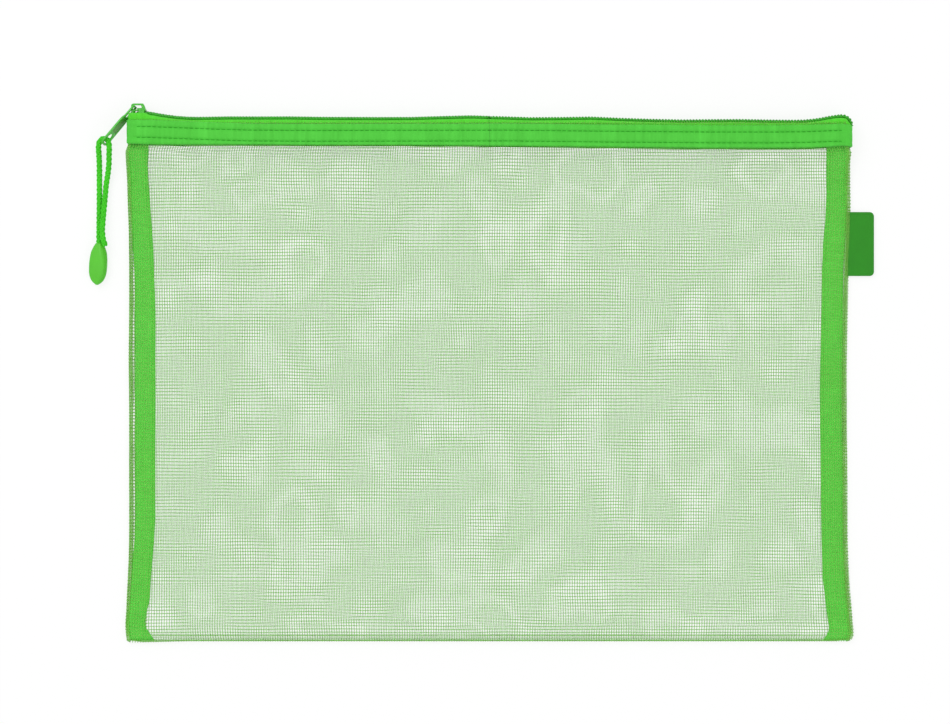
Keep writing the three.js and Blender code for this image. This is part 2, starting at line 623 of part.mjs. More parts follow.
// The arch that carries the pull, drawn over x and y, with a thick root behind the hinge
function bridge() {
  const [foot, top] = [PLATE_TOP - TOP_PLATE_THICKNESS / 2, PLATE_TOP + BRIDGE_HEIGHT];
  const heel = NOSE_X + BRIDGE_LENGTH;
  const brow = heel - BRIDGE_SLOPE - BRIDGE_SHOULDER / 2;
  const shape = new THREE.Shape();
  shape.moveTo(NOSE_X, foot);
  shape.lineTo(heel, foot);
  shape.quadraticCurveTo(heel - BRIDGE_BAR, top, brow, top);
  shape.lineTo(NOSE_X + BRIDGE_SHOULDER, top);
  shape.quadraticCurveTo(NOSE_X, top, NOSE_X, top - BRIDGE_SHOULDER);
  const [left, right, roof] = [NOSE_X + BRIDGE_BAR, NOSE_X + BRIDGE_HOLE_END, top - BRIDGE_BAR];
  const [root, floor] = [NOSE_X + BRIDGE_ROOT_START, PLATE_TOP + BRIDGE_ROOT_HEIGHT];
  const hole = new THREE.Path();
  hole.moveTo(left, PLATE_TOP);
  hole.lineTo(left, top - BRIDGE_SHOULDER);
  hole.quadraticCurveTo(left, roof, NOSE_X + BRIDGE_SHOULDER, roof);
  hole.lineTo(right - BRIDGE_BAR, roof);
  hole.quadraticCurveTo(right, roof, right, floor);
  hole.lineTo(root, floor);
  hole.lineTo(root, PLATE_TOP);
  shape.holes.push(hole);
  return roundedPrism(shape, -BRIDGE_WIDTH / 2, BRIDGE_WIDTH / 2, EDGE_ROUNDING, 6);
}

function sliderBody() {
  return geometryOf(join(topPlate(), bottomPlate(), ...flanges(), diamond(), bridge()));
}

// Pull tab, drawn from its hinge bar: x along the tab, y through its thickness, z across it
const END_BAR_X = PULL_LENGTH - END_BAR_WIDTH / 2;

function pullTab() {
  const [hinge, half, r] = [HINGE_END_WIDTH / 2, PULL_WIDTH / 2, PULL_CORNER_RADIUS];
  const window = HINGE_WINDOW_WIDTH / 2;
  const widening = HINGE_WINDOW_LENGTH + half;
  const shape = new THREE.Shape();
  shape.moveTo(0, window);
  shape.lineTo(0, hinge);
  shape.lineTo(HINGE_WINDOW_LENGTH, hinge);
  shape.lineTo(widening, half);
  shape.lineTo(PULL_LENGTH - r, half);
  shape.absarc(PULL_LENGTH - r, half - r, r, Math.PI / 2, 0, true);
  shape.absarc(PULL_LENGTH - r, -half + r, r, 0, -Math.PI / 2, true);
  shape.lineTo(widening, -half);
  shape.lineTo(HINGE_WINDOW_LENGTH, -hinge);
  shape.lineTo(0, -hinge);
  shape.lineTo(0, -window);
  shape.lineTo(HINGE_WINDOW_LENGTH, -window);
  shape.lineTo(HINGE_WINDOW_LENGTH, window);
  const slot = new THREE.Path();
  const [far, side] = [PULL_LENGTH - END_BAR_WIDTH, CORD_SLOT_WIDTH / 2];
  const near = far - CORD_SLOT_LENGTH;
  slot.moveTo(far, -side);
  slot.lineTo(far, side);
  slot.lineTo(near + side, side);
  slot.absarc(near + side, 0, side, Math.PI / 2, (3 * Math.PI) / 2, false);
  shape.holes.push(slot);
  const plate = standUp(roundedPrism(shape, -PULL_THICKNESS / 2, PULL_THICKNESS / 2, EDGE_ROUNDING, 6));
  const bar = hingeRod(HINGE_BAR_RADIUS, -window - EDGE_ROUNDING, window + EDGE_ROUNDING);
  const knuckle = PULL_THICKNESS / 2;
  const knuckles = [hingeRod(knuckle, -hinge, -window), hingeRod(knuckle, window, hinge)];
  return geometryOf(join(plate, bar, ...knuckles));
}

// A round rod on the hinge's axis, from one place across the tab to another
function hingeRod(radius, from, to) {
  const made = new THREE.CylinderGeometry(radius, radius, to - from, HINGE_SIDES);
  made.rotateX(Math.PI / 2);
  made.translate(0, 0, (from + to) / 2);
  return made;
}

// Cord, from the middle of the tab's end bar: one strand up, round the bar and down again
function cordPath() {
  const turn = THREE.MathUtils.degToRad(PULL_ANGLE);
  const tilt = THREE.MathUtils.degToRad(PULL_TILT);
  const along = new THREE.Vector3(Math.cos(turn), Math.sin(turn), 0);
  const through = new THREE.Vector3(
    Math.sin(turn) * Math.cos(tilt),
    -Math.cos(turn) * Math.cos(tilt),
    -Math.sin(tilt),
  );
  const loop = [110, 75, 40, 0, -30].map((degrees) => {
    const angle = THREE.MathUtils.degToRad(degrees);
    return new THREE.Vector3()
      .addScaledVector(along, -LOOP_RADIUS * Math.cos(angle))
      .addScaledVector(through, LOOP_RADIUS * Math.sin(angle));
  });
  const rise = CHAIN_DEPTH;
  const near = [
    [-2.4, -44.8, 2.6],
    [-2.5, -41.6, 2.0],
    [-2.5, -35.8, 1.5],
    [-2.4, -26.5, 1.5],
    [-2.4, -16.3, 1.5],
    [-2.4, -9.5, 1.7],
    [-2.5, -4.8, 2.5],
    [-2.6, -1.8, 3.5],
  ];
  const far = [
    [2.5, -1.6, 5.6],
    [2.4, -5, 5.1],
    [2.2, -9.5, 4.2],
    [1.6, -14, 3.1],
    [0.8, -18.5, 2.3],
    [0.35, -23.3, 2.3],
    [-0.1, -29.5, 3.2],
    [-0.6, -35.7, 3.8],
    [-0.8, -40.3, 4.0],
    [-0.3, -43.9, 4.3],
    [0.6, -46.5, 4.5],
  ];
  const placed = (list) => list.map(([x, y, z]) => new THREE.Vector3(x, y, z - rise));
  return new THREE.CatmullRomCurve3([...placed(near), ...loop, ...placed(far)]);
}

function circle(radius, sides) {
  const points = [];
  for (let i = 0; i < sides; i++) {
    const angle = (2 * Math.PI * (i + 0.5)) / sides;
    points.push([radius * Math.cos(angle), radius * Math.sin(angle)]);
  }
  return outline(points);
}

function tubeAlong(path, diameter, steps) {
  return new THREE.ExtrudeGeometry(circle(diameter / 2, CORD_SIDES), {
    steps,
    extrudePath: path,
    bevelEnabled: false,
  });
}

// Moulded end of the cord: a leaf with a keel, drawn from its mouth along -y
const TIP_STATIONS = [
  // share of the length, share of the width, share of the thickness
  [0, 0.36, 0.62],
  [0.08, 0.6, 0.76],
  [0.22, 0.9, 0.92],
  [0.38, 0.98, 1],
  [0.52, 1, 1],
  [0.66, 0.98, 0.97],
  [0.78, 0.9, 0.88],
  [0.88, 0.72, 0.72],
  [0.95, 0.46, 0.5],
  [1, 0.12, 0.18],
];
const TIP_SIDES = 20;
const KEEL_SHARPNESS = 1.5;
const KEEL_SHARE = 0.65;

function tipRing([length, width, thickness]) {
  const ring = [];
  for (let i = 0; i < TIP_SIDES; i++) {
    const angle = (2 * Math.PI * i) / TIP_SIDES;
    const [c, s] = [Math.cos(angle), Math.sin(angle)];
    const keel = KEEL_SHARE * (1 - Math.abs(c) ** KEEL_SHARPNESS) + (1 - KEEL_SHARE) * Math.abs(s);
    ring.push([
      (c * width * TIP_WIDTH) / 2,
      -length * TIP_LENGTH,
      (Math.sign(s) * keel * thickness * TIP_THICKNESS) / 2,
    ]);
  }
  return ring;
}

// The tip, with a groove in which the second strand ends
function cordTip(path, place) {
  const leaf = loft(TIP_STATIONS.map(tipRing));
  leaf.applyMatrix4(place);
  const end = path.getPoint(1);
  const inward = path.getTangent(1);
  const reach = new THREE.LineCurve3(
    end.clone().addScaledVector(inward, -2 * CORD_DIAMETER),
    end.clone().addScaledVector(inward, CLEARANCE),
  );
  const groove = tubeAlong(reach, CORD_DIAMETER + GROOVE_ROOM, 1);
  return geometryOf(solid(leaf).subtract(solid(groove)));
}

// The assembly
const part = new THREE.Group();
const netFinish = finish(GREEN.net, 0.8);
const bandFinish = finish(GREEN.band, 0.75);
const tapeFinish = finish(GREEN.tape, 0.75);
const coilFinish = finish(GREEN.coil, 0.45);

part.add(
  mesh("back_net", backNet(), netFinish.clone()),
  mesh("back_band", band(false), bandFinish.clone()),
  mesh("back_tape", tape(false), tapeFinish.clone()),
  mesh("back_coil", coil(false), coilFinish.clone()),
  mesh("left_binding", binding(-1), bandFinish.clone()),
  mesh("right_binding", binding(1), bandFinish.clone()),
);

const tag = mesh("label_tag", label(), finish(GREEN.tag, 0.6));
tag.position.set(SIDE - LABEL_INSET, LABEL_CENTRE_Y, LABEL_Z);
part.add(tag);

const frontLip = new THREE.Group();
frontLip.add(
  mesh("front_net", frontNet(), netFinish.clone()),
  mesh("front_band", band(true), bandFinish.clone()),
  mesh("front_tape", tape(true), tapeFinish.clone()),
  mesh("front_coil", coil(true), coilFinish.clone()),
);
part.add(frontLip);

const slider = new THREE.Group();
slider.position.set(SLIDER_X, SLIDER_Y, CHAIN_DEPTH);
slider.add(mesh("slider_body", sliderBody(), finish(GREEN.slider, 0.35, 0.3)));
part.add(slider);

const pull = new THREE.Group();
pull.position.set(HINGE_X, HINGE_Y, 0);
pull.rotation.z = THREE.MathUtils.degToRad(PULL_ANGLE);
const tab = mesh("pull_tab", pullTab(), finish(GREEN.pull, 0.35, 0.3));
tab.rotation.x = THREE.MathUtils.degToRad(PULL_TILT);
pull.add(tab);
slider.add(pull);

const endBar = new THREE.Vector3(END_BAR_X, 0, 0)
  .applyAxisAngle(new THREE.Vector3(0, 0, 1), pull.rotation.z)
  .add(pull.position);
const cordPull = new THREE.Group();
cordPull.position.copy(endBar);
const cordRoute = cordPath();
const tipPlace = new THREE.Matrix4()
  .makeTranslation(-TIP_SHIFT, -TIP_DROP, TIP_REST + TIP_THICKNESS / 2 - CHAIN_DEPTH)
  .multiply(new THREE.Matrix4().makeRotationZ(-THREE.MathUtils.degToRad(TIP_LEAN)));
cordPull.add(
  mesh("pull_cord", tubeAlong(cordRoute, CORD_DIAMETER, CORD_STEPS), finish(GREEN.cord, 0.7)),
  mesh("cord_tip", cordTip(cordRoute, tipPlace), finish(GREEN.tip, 0.4)),
);
slider.add(cordPull);

export default part;
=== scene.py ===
"""Looks of a flat green net pouch with a coil zipper, a slider, a cord pull and a side label.

Sizes in the code are in millimetres unless a property says otherwise, and meshes are made in metres.
"""

import math
import bmesh
import bpy
import numpy as np
from bpy.props import FloatProperty, FloatVectorProperty, IntProperty, PointerProperty
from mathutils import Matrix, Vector


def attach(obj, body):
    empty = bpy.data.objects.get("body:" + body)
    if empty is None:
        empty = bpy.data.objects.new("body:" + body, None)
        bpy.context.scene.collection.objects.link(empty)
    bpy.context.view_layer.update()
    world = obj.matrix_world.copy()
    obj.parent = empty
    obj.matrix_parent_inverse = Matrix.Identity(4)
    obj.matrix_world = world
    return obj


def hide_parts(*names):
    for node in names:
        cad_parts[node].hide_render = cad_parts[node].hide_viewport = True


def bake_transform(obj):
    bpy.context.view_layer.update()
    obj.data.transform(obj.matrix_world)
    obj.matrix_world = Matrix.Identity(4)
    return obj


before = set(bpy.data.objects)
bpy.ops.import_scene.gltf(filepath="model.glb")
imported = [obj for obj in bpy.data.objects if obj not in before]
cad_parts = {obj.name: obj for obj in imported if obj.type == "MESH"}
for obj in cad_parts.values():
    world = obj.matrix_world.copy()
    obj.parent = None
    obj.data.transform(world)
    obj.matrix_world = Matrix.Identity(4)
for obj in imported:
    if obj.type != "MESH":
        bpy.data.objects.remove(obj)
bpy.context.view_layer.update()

bl_info = {
    "name": "Zipper Pouch",
    "version": (1, 0, 0),
    "blender": (4, 5, 0),
    "location": "View3D > Sidebar > Zipper Pouch",
    "description": "Dresses a flat net pouch with nets, bands, a coil zipper, a slider and a braided cord",
    "category": "Object",
}

MM = 0.001
SIDE = 165.0  # half of the pouch's width
FOLD_Y = -118.5  # middle of the bottom fold
FOLD_Z = 1.5
FOLD_RADIUS = 1.25
CHAIN_Z = 4.8  # middle of the zipper chain, halfway between back and front
TAPE_FACE_Y = 118.4
BAND_TOP = 116.1
BAND_BOTTOM = 105.9
STITCH_ROWS = (113.0, 108.1)
BAND_FRONT_Z, BAND_BACK_Z = 9.0, 0.62  # the faces that the front and the back band lie on
ALLOWANCE = 10.2  # width of the seam allowances
COIL_START, COIL_END, COIL_Y = -161.3, 167.0, 119.25
CORNER_X, CORNER_RADIUS, CORNER_Y = 160.4, 4.1, 119.6  # where the chain turns down at its far end
SELVEDGES = (0.0015, 0.9925)  # where the closer threads of each side start, by shares of the width
SELVEDGE_THREADS = 5
FOLD_PITCH = 0.62  # between the closer threads along the bottom fold
BAR_REACH = 2.35  # from the middle of the end bar to the middle of the cord round it
LEAF_LENGTH, LEAF_HALF_WIDTH, LEAF_HEIGHT, LEAF_LEAN = 19, 4.2, 2.8, math.radians(-3.5)
LABEL_AT, LABEL_LENGTH, LABEL_HALF = (162.6, 61.7, 1.2), 12.8, 14.6
SEEN_WIDTH = 432.4  # what the camera sees across the picture, at the height of the zipper
SENSOR = 36
END_BAR = np.array([-175.527, 107.324, 0.0])  # middle of the pull tab's far bar, seen from above
HINGE = np.array([-161.45, 124.1, 4.8])  # middle of the pull tab's hinge bar
PULL_ANGLE = math.radians(230)
PULL_TILT = math.radians(20)


# Sizes and colours that a user would change


def paint(name, red, green, blue):
    """A colour property whose default is written as it shows on a screen, from 0 to 255."""
    shown = [c / 255 for c in (red, green, blue)]
    linear = [c / 12.92 if c <= 0.04045 else ((c + 0.055) / 1.055) ** 2.4 for c in shown]
    return FloatVectorProperty(
        name=name, description=f"{name} of the pouch", subtype="COLOR", size=3, min=0, max=1, default=linear
    )


def length(name, description, millimetres):
    return FloatProperty(
        name=name, description=description, subtype="DISTANCE", unit="LENGTH", min=0, precision=5,
        default=millimetres * MM,
    )


def lamp_power(name, place, watts):
    description = f"Power of the large lamp at the {place}"
    return FloatProperty(name=name, description=description, default=watts, min=0, unit="POWER")


class PouchColours(bpy.types.PropertyGroup):
    """Colours of the pouch's materials"""

    net: paint("Net thread", 154, 226, 102)
    band: paint("Covering band", 81, 211, 60)
    tape: paint("Zipper tape", 84, 222, 42)
    coil: paint("Zipper coil", 52, 172, 26)
    binding: paint("Seam binding", 102, 228, 78)
    # Darker than the band: partly the sewing thread's own tone, and partly painted shade of the grooves that
    # the stitches sink into
    stitch: paint("Sewing thread", 40, 156, 22)
    label: paint("Rubber label", 34, 141, 10)
    slider: paint("Slider paint", 74, 190, 52)
    pull: paint("Pull tab panel", 74, 156, 24)
    cord: paint("Cord yarn", 72, 214, 38)
    tip: paint("Cord end", 92, 206, 48)


class PouchNet(bpy.types.PropertyGroup):
    """The net of the two panels"""

    warp_pitch: length("Warp pitch", "Distance between the threads that run up the pouch", 1.13)
    weft_pitch: length("Weft pitch", "Distance between the threads that run across", 1.48)
    thread: length("Thread thickness", "Thickness of a net thread", 0.3)
    selvedge_pitch: length("Selvedge pitch", "Distance between the closer threads along the side edges", 0.32)
    waver: length("Waver", "How far a thread strays sideways from its straight line", 1.0)


class PouchTrim(bpy.types.PropertyGroup):
    """Bands and stitches"""

    stitch_pitch: length("Stitch pitch", "Distance from one stitch to the next", 2.4)
    stitch_thread: length("Sewing thread", "Thickness of the sewing thread", 0.4)
    puff: length("Band puff", "How far the band swells between its rows of stitches", 0.42)


class PouchZipper(bpy.types.PropertyGroup):
    """The coils of the zipper"""

    coil_pitch: length("Coil pitch", "Distance from one turn of a coil to the next", 1.4)
    wire: length("Coil thread", "Thickness of the coil's monofilament", 0.6)


class PouchCord(bpy.types.PropertyGroup):
    """The braided cord of the pull"""

    thickness: length("Cord thickness", "Outside thickness of the cord", 2.8)
    braid_pitch: length("Braid pitch", "Length of one full turn of a strand", 8.64)
    strands: IntProperty(
        name="Strands each way", description="Strands that turn each way", default=4, min=2, max=8,
    )


class PouchStudio(bpy.types.PropertyGroup):
    """Camera and lamps"""

    lens: FloatProperty(
        name="Lens", description="Focal length of the camera", default=120, min=20, subtype="DISTANCE_CAMERA",
        unit="CAMERA",
    )
    sky: FloatProperty(
        name="Sky", description="Strength of the even light from all round", default=0.62, min=0,
    )
    key_power: lamp_power("Key lamp", "upper left", 9.5)
    fill_power: lamp_power("Fill lamp", "lower right", 3.5)


SETTINGS = {
    "pouch_colours": PouchColours,
    "pouch_net": PouchNet,
    "pouch_trim": PouchTrim,
    "pouch_zipper": PouchZipper,
    "pouch_cord": PouchCord,
    "pouch_studio": PouchStudio,
}


# Node trees written as expressions


class Wire:
    """One output of a node tree. Sums on it add Math nodes."""

    def __init__(self, graph, socket):
        self.graph, self.socket = graph, socket

    def __abs__(self):
        return self.graph.math("ABSOLUTE", self)


for sign, operation in (("add", "ADD"), ("sub", "SUBTRACT"), ("mul", "MULTIPLY"), ("truediv", "DIVIDE")):
    setattr(Wire, f"__{sign}__", lambda wire, other, kind=operation: wire.graph.math(kind, wire, other))
    setattr(Wire, f"__r{sign}__", lambda wire, other, kind=operation: wire.graph.math(kind, other, wire))


class Graph:
    """Builds a node tree: node() makes any node, and wires carry the sums between them."""

    def __init__(self, tree):
        self.tree = tree

    def node(self, kind, settings=None, sockets=None):
        made = self.tree.nodes.new(kind)
        for key, value in (settings or {}).items():
            setattr(made, key, value)
        for key, value in (sockets or {}).items():
            if isinstance(value, Wire):
                self.tree.links.new(value.socket, made.inputs[key])
            else:
                made.inputs[key].default_value = value
        return made

    def wire(self, kind, settings=None, sockets=None, output=0):
        return Wire(self, self.node(kind, settings, sockets).outputs[output])

    def math(self, operation, *values):
        return self.wire("ShaderNodeMath", {"operation": operation}, dict(enumerate(values)))

    def sin(self, value):
        return self.math("SINE", value)

    def clamped(self, value, low=0.0, high=1.0):
        return self.math("MINIMUM", self.math("MAXIMUM", value, low), high)

    def split(self, vector):
        parts = self.node("ShaderNodeSeparateXYZ", None, {0: vector})
        return [Wire(self, parts.outputs[i]) for i in range(3)]

    def joined(self, x, y, z):
        return self.wire("ShaderNodeCombineXYZ", None, {0: x, 1: y, 2: z})

    def vector(self, operation, first, second):
        second_key = "Scale" if operation == "SCALE" else 1
        return self.wire("ShaderNodeVectorMath", {"operation": operation}, {0: first, second_key: second})

    def noise(self, vector, scale, detail=2.0):
        return self.wire("ShaderNodeTexNoise", None, {"Vector": vector, "Scale": scale, "Detail": detail})

    def mix(self, share, first, second):
        return self.wire("ShaderNodeMix", {"data_type": "RGBA"}, {0: share, 6: first, 7: second}, 2)

    def position(self):
        return self.wire("GeometryNodeInputPosition")

    def line(self, mesh):
        return self.wire("GeometryNodeMeshToCurve", None, {"Mesh": mesh})

    def even(self, line, step):
        return self.wire("GeometryNodeResampleCurve", {"mode": "LENGTH"}, {"Curve": line, "Length": step})

    def copies(self, line, amount):
        """Copies of a curve, and the number of each copy."""
        sockets = {"Geometry": line, "Amount": amount}
        made = self.node("GeometryNodeDuplicateElements", {"domain": "SPLINE"}, sockets)
        return [Wire(self, made.outputs[key]) for key in ("Geometry", "Duplicate Index")]

    def placed(self, geometry, **places):
        """Moves points to a Position or by an Offset."""
        return self.wire("GeometryNodeSetPosition", None, {"Geometry": geometry, **places})

    def from_object(self, holder):
        settings = {"transform_space": "RELATIVE"}
        return self.wire("GeometryNodeObjectInfo", settings, {"Object": holder}, "Geometry")

    def tube(self, line, radius, sides):
        """A round thread along a curve, closed at its ends."""
        sockets = {"Resolution": sides, "Radius": radius}
        ring = self.wire("GeometryNodeCurvePrimitiveCircle", {"mode": "RADIUS"}, sockets)
        sockets = {"Curve": line, "Profile Curve": ring, "Fill Caps": True}
        return self.wire("GeometryNodeCurveToMesh", None, sockets)


# Materials


def shade(colour, factor, white=0.0):
    return (*(min(1.0, c * factor + white) for c in colour), 1.0)


def tinted(graph, share, colour, spread, white=0.0):
    """A colour that is darker where the share is 0, and lighter where it is 1."""
    return graph.mix(share, shade(colour, 1 - spread), shade(colour, 1 + spread, white))


def material(name, build, **uniform):
    """A material whose build function returns wires for the Principled shader's inputs."""
    made = bpy.data.materials.new(name)
    made.use_nodes = True
    graph = Graph(made.node_tree)
    shader = made.node_tree.nodes["Principled BSDF"]
    for key, value in uniform.items():
        shader.inputs[key.replace("_", " ").title().replace("Ior", "IOR")].default_value = value
    at = graph.wire("ShaderNodeTexCoord", None, None, "Object")
    for key, value in build(graph, at).items():
        made.node_tree.links.new(value.socket, shader.inputs[key])
    return made


def bumped(graph, height, distance):
    return graph.wire("ShaderNodeBump", None, {"Height": height, "Distance": distance, "Strength": 1.0})


def woven(name, colour, across="x", rib=0.55, fill=0.42, relief=0.06, contrast=0.16):
    """Narrow woven tape: ribs across it, and finer threads along it. Rib and fill are pitches."""

    def build(graph, at):
        x, y, z = graph.split(at)
        along, over = (x, y) if across == "x" else (y, x)
        ribs = abs(graph.sin(along * (math.pi / (rib * MM))))
        threads = abs(graph.sin((over + z) * (math.pi / (fill * MM))))
        cloud = graph.noise(at, 90.0, 3.0)
        stretch = (520.0, 50.0, 50.0) if across == "x" else (50.0, 520.0, 50.0)
        streak = graph.noise(graph.vector("MULTIPLY", at, stretch), 1.0)
        height = ribs * 0.65 + threads * 0.35
        # The tone mixes random cloud and streaks with the weave's height: painted shade in the hollows
        # between ribs and threads, and a painted highlight on their crests
        tone = graph.clamped(height * 0.35 + cloud * 0.4 + streak * 1.1 - 0.45)
        return {
            # The light end is lifted a little towards white, which makes the painted highlight on the crests,
            # and the random streaks, paler
            "Base Color": tinted(graph, tone, colour, contrast, 0.02),
            "Roughness": 0.86 - height * 0.12,
            "Normal": bumped(graph, height, relief * MM),
        }

    return material(name, build, specular_ior_level=0.25, sheen_weight=0.12, sheen_roughness=0.5)


def yarn(name, colour, twist, contrast=0.18, roughness=0.62, alpha=1.0):
    """Twisted thread: fine slanting lines on a colour that drifts."""

    def build(graph, at):
        x, y, z = graph.split(at)
        lines = abs(graph.sin((x + y + z) * (math.pi / (twist * MM))))
        # The tone mixes a random drift with the twist's slanting grooves: painted shade in the grooves and a
        # painted highlight on the ridges between them
        tone = graph.clamped(lines * 0.45 + graph.noise(at, 220.0) * 0.9 - 0.2)
        return {
            "Base Color": tinted(graph, tone, colour, contrast),
            "Roughness": roughness + lines * 0.1,
            "Normal": bumped(graph, lines, 0.03 * MM),
        }

    return material(name, build, specular_ior_level=0.3, alpha=alpha)


def painted(name, colour, metallic):
    """Enamel on a die casting: slight orange peel, cloudy gloss and small rubbed specks."""

    def build(graph, at):
        peel = graph.noise(at, 900.0, 2.0)
        cloud = graph.noise(at, 260.0, 3.0)
        rubbed = graph.clamped((graph.noise(at, 1500.0, 4.0) - 0.66) * 9.0)
        return {
            "Base Color": graph.mix(rubbed, tinted(graph, cloud, colour, 0.16), (0.34, 0.56, 0.24, 1.0)),
            "Roughness": 0.26 + cloud * 0.16 + rubbed * 0.15,
            "Metallic": rubbed * 0.5 + metallic,
            "Normal": bumped(graph, peel, 0.015 * MM),
        }

    return material(name, build, coat_weight=0.12, coat_roughness=0.2)


def moulded(name, colour, grain, roughness):
    """Soft moulded plastic or rubber with a fine grain."""

    def build(graph, at):
        fine = graph.noise(at, 2600.0, 2.0)
        cloud = graph.noise(at, 160.0, 3.0)
        return {
            "Base Color": tinted(graph, cloud, colour, 0.1),
            "Roughness": roughness - 0.06 + fine * 0.14,
            "Normal": bumped(graph, fine, grain * MM),
        }

    return material(name, build, specular_ior_level=0.4)


def filament(name, colour):
    """Dyed monofilament: smooth, half clear, with a slow change of tone."""

    def build(graph, at):
        cloud = graph.noise(at, 420.0, 2.0)
        return {
            "Base Color": graph.mix(cloud, shade(colour, 0.8), shade(colour, 1.25)),
            "Roughness": 0.3 + cloud * 0.15,
        }

    return material(name, build, specular_ior_level=0.5)


# Meshes


def linked(name, data):
    """An object in the scene for a mesh, curve, lamp or camera."""
    made = bpy.data.objects.new(name, data)
    bpy.context.scene.collection.objects.link(made)
    return made


def finished(name, mesh, body=None, replaces=()):
    """An object at the origin for a finished mesh, riding on a body of the frame."""
    made = linked(name, mesh)
    if body:
        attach(made, body)
    if replaces:
        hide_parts(*replaces)
    return made


def tidied(mesh):
    """Merges a mesh's doubles and turns its faces outwards."""
    work = bmesh.new()
    work.from_mesh(mesh)
    bmesh.ops.remove_doubles(work, verts=work.verts, dist=1e-7)
    bmesh.ops.recalc_face_normals(work, faces=work.faces)
    work.to_mesh(mesh)
    work.free()


def mesh_of(name, points, faces, surface=None, smooth=True):
    """A closed mesh from points in millimetres, in a material."""
    mesh = bpy.data.meshes.new(name)
    mesh.from_pydata((np.asarray(points, float) * MM).tolist(), [], faces)
    tidied(mesh)
    if smooth:
        mesh.shade_smooth()
    if surface:
        mesh.materials.append(surface)
    return mesh


def quads(rows, count, closed):
    """Faces between rows with the same number of points, each row closed to a ring or open."""
    return [
        (r * count + i, r * count + (i + 1) % count, (r + 1) * count + (i + 1) % count, (r + 1) * count + i)
        for r in range(rows - 1)
        for i in range(count if closed else count - 1)
    ]


def swept(rings):
    """Points and faces of a closed skin over rings with the same number of points, capped at both ends."""
    rings = np.asarray(rings, float)
    rows, count = rings.shape[:2]
    caps = [tuple(range(count))[::-1], tuple(range((rows - 1) * count, rows * count))]
    return rings.reshape(-1, 3), quads(rows, count, True) + caps


def smooth_step(t):
    t = np.clip(t, 0, 1)
    return t * t * (3 - 2 * t)


def moved(mesh, change):
    """Moves a mesh's points by a function of their places in millimetres."""
    places = np.zeros(len(mesh.vertices) * 3)
    mesh.vertices.foreach_get("co", places)
    places = change(places.reshape(-1, 3) / MM) * MM
    mesh.vertices.foreach_set("co", places.ravel())
    mesh.update()
    return mesh


def evaluated(holder):
    """The plain mesh of an object with its modifier or its curve worked out. The object is removed."""
    bpy.context.view_layer.update()
    view = bpy.context.evaluated_depsgraph_get()
    mesh = bpy.data.meshes.new_from_object(holder.evaluated_get(view))
    bpy.data.objects.remove(holder)
    return mesh


def cut_plate(name, outlines, half, rounding, surface):
    """A flat plate with rounded edges. Its first outline, in millimetres, holds the others, its holes."""
    curve = bpy.data.curves.new(name, "CURVE")
    curve.dimensions, curve.fill_mode = "2D", "BOTH"
    curve.extrude, curve.bevel_depth, curve.bevel_resolution = (half - rounding) * MM, rounding * MM, 2
    curve.offset = -rounding * MM
    for outline in outlines:
        spline = curve.splines.new("POLY")
        spline.points.add(len(outline) - 1)
        spline.points.foreach_set("co", [c for x, y in outline for c in (x * MM, y * MM, 0.0, 1.0)])
        spline.use_cyclic_u = True
    mesh = evaluated(linked(name, curve))
    tidied(mesh)
    mesh.materials.clear()
    mesh.materials.append(surface)
    return mesh


def arc(x, y, radius, start, end, count):
    """Points on an arc, whose ends are given in degrees."""
    angles = np.radians(np.linspace(start, end, count))
    return [(x + radius * math.cos(a), y + radius * math.sin(a)) for a in angles]


def rounded_box(x0, x1, half, radii, steps=7):
    """Outline of a box from x0 to x1 with a corner radius for each end."""
    points = []
    for x, radius, start in ((x1, radii[1], -90), (x1, radii[1], 0), (x0, radii[0], 90), (x0, radii[0], 180)):
        along = x - radius if x == x1 else x + radius
        across = half - radius if start in (0, 90) else radius - half
        points += arc(along, across, radius, start, start + 90, steps)
    return points


def joined(name, meshes):
    """One mesh from several, with their materials."""
    work = bmesh.new()
    surfaces = []
    for mesh in meshes:
        start = len(work.faces)
        work.from_mesh(mesh)
        for surface in mesh.materials:
            if surface not in surfaces:
                surfaces.append(surface)
        work.faces.ensure_lookup_table()
        for face in work.faces[start:]:
            face.material_index = surfaces.index(mesh.materials[face.material_index])
    made = bpy.data.meshes.new(name)
    work.to_mesh(made)
    work.free()
    for surface in surfaces:
        made.materials.append(surface)
    for mesh in meshes:
        bpy.data.meshes.remove(mesh)
    return made


# Geometry node trees


def tree_with(name, floats, ints=(), objects=()):
    """A geometry node tree and its graph, with named inputs, the last of which is its material."""
    tree = bpy.data.node_groups.new(name, "GeometryNodeTree")
    tree.interface.new_socket("Geometry", in_out="INPUT", socket_type="NodeSocketGeometry")
    kinds = {"Object": objects, "Int": ints, "Float": floats, "Material": ["Material"]}
    for kind, labels in kinds.items():
        for label in labels:
            tree.interface.new_socket(label, in_out="INPUT", socket_type="NodeSocket" + kind)
    tree.interface.new_socket("Geometry", in_out="OUTPUT", socket_type="NodeSocketGeometry")
    graph = Graph(tree)
    group = tree.nodes.new("NodeGroupInput")
    given = {socket.name: Wire(graph, socket) for socket in group.outputs if socket.name}
    return tree, graph, given


def tree_ends(graph, geometry, surface):
    """Ends a tree in Realize Instances and Set Material."""
    real = graph.wire("GeometryNodeRealizeInstances", None, {"Geometry": geometry})
    dressed = graph.wire("GeometryNodeSetMaterial", None, {"Geometry": real, "Material": surface})
    smooth = graph.wire("GeometryNodeSetShadeSmooth", None, {"Geometry": dressed})
    out = graph.tree.nodes.new("NodeGroupOutput")
    graph.tree.links.new(smooth.socket, out.inputs[0])


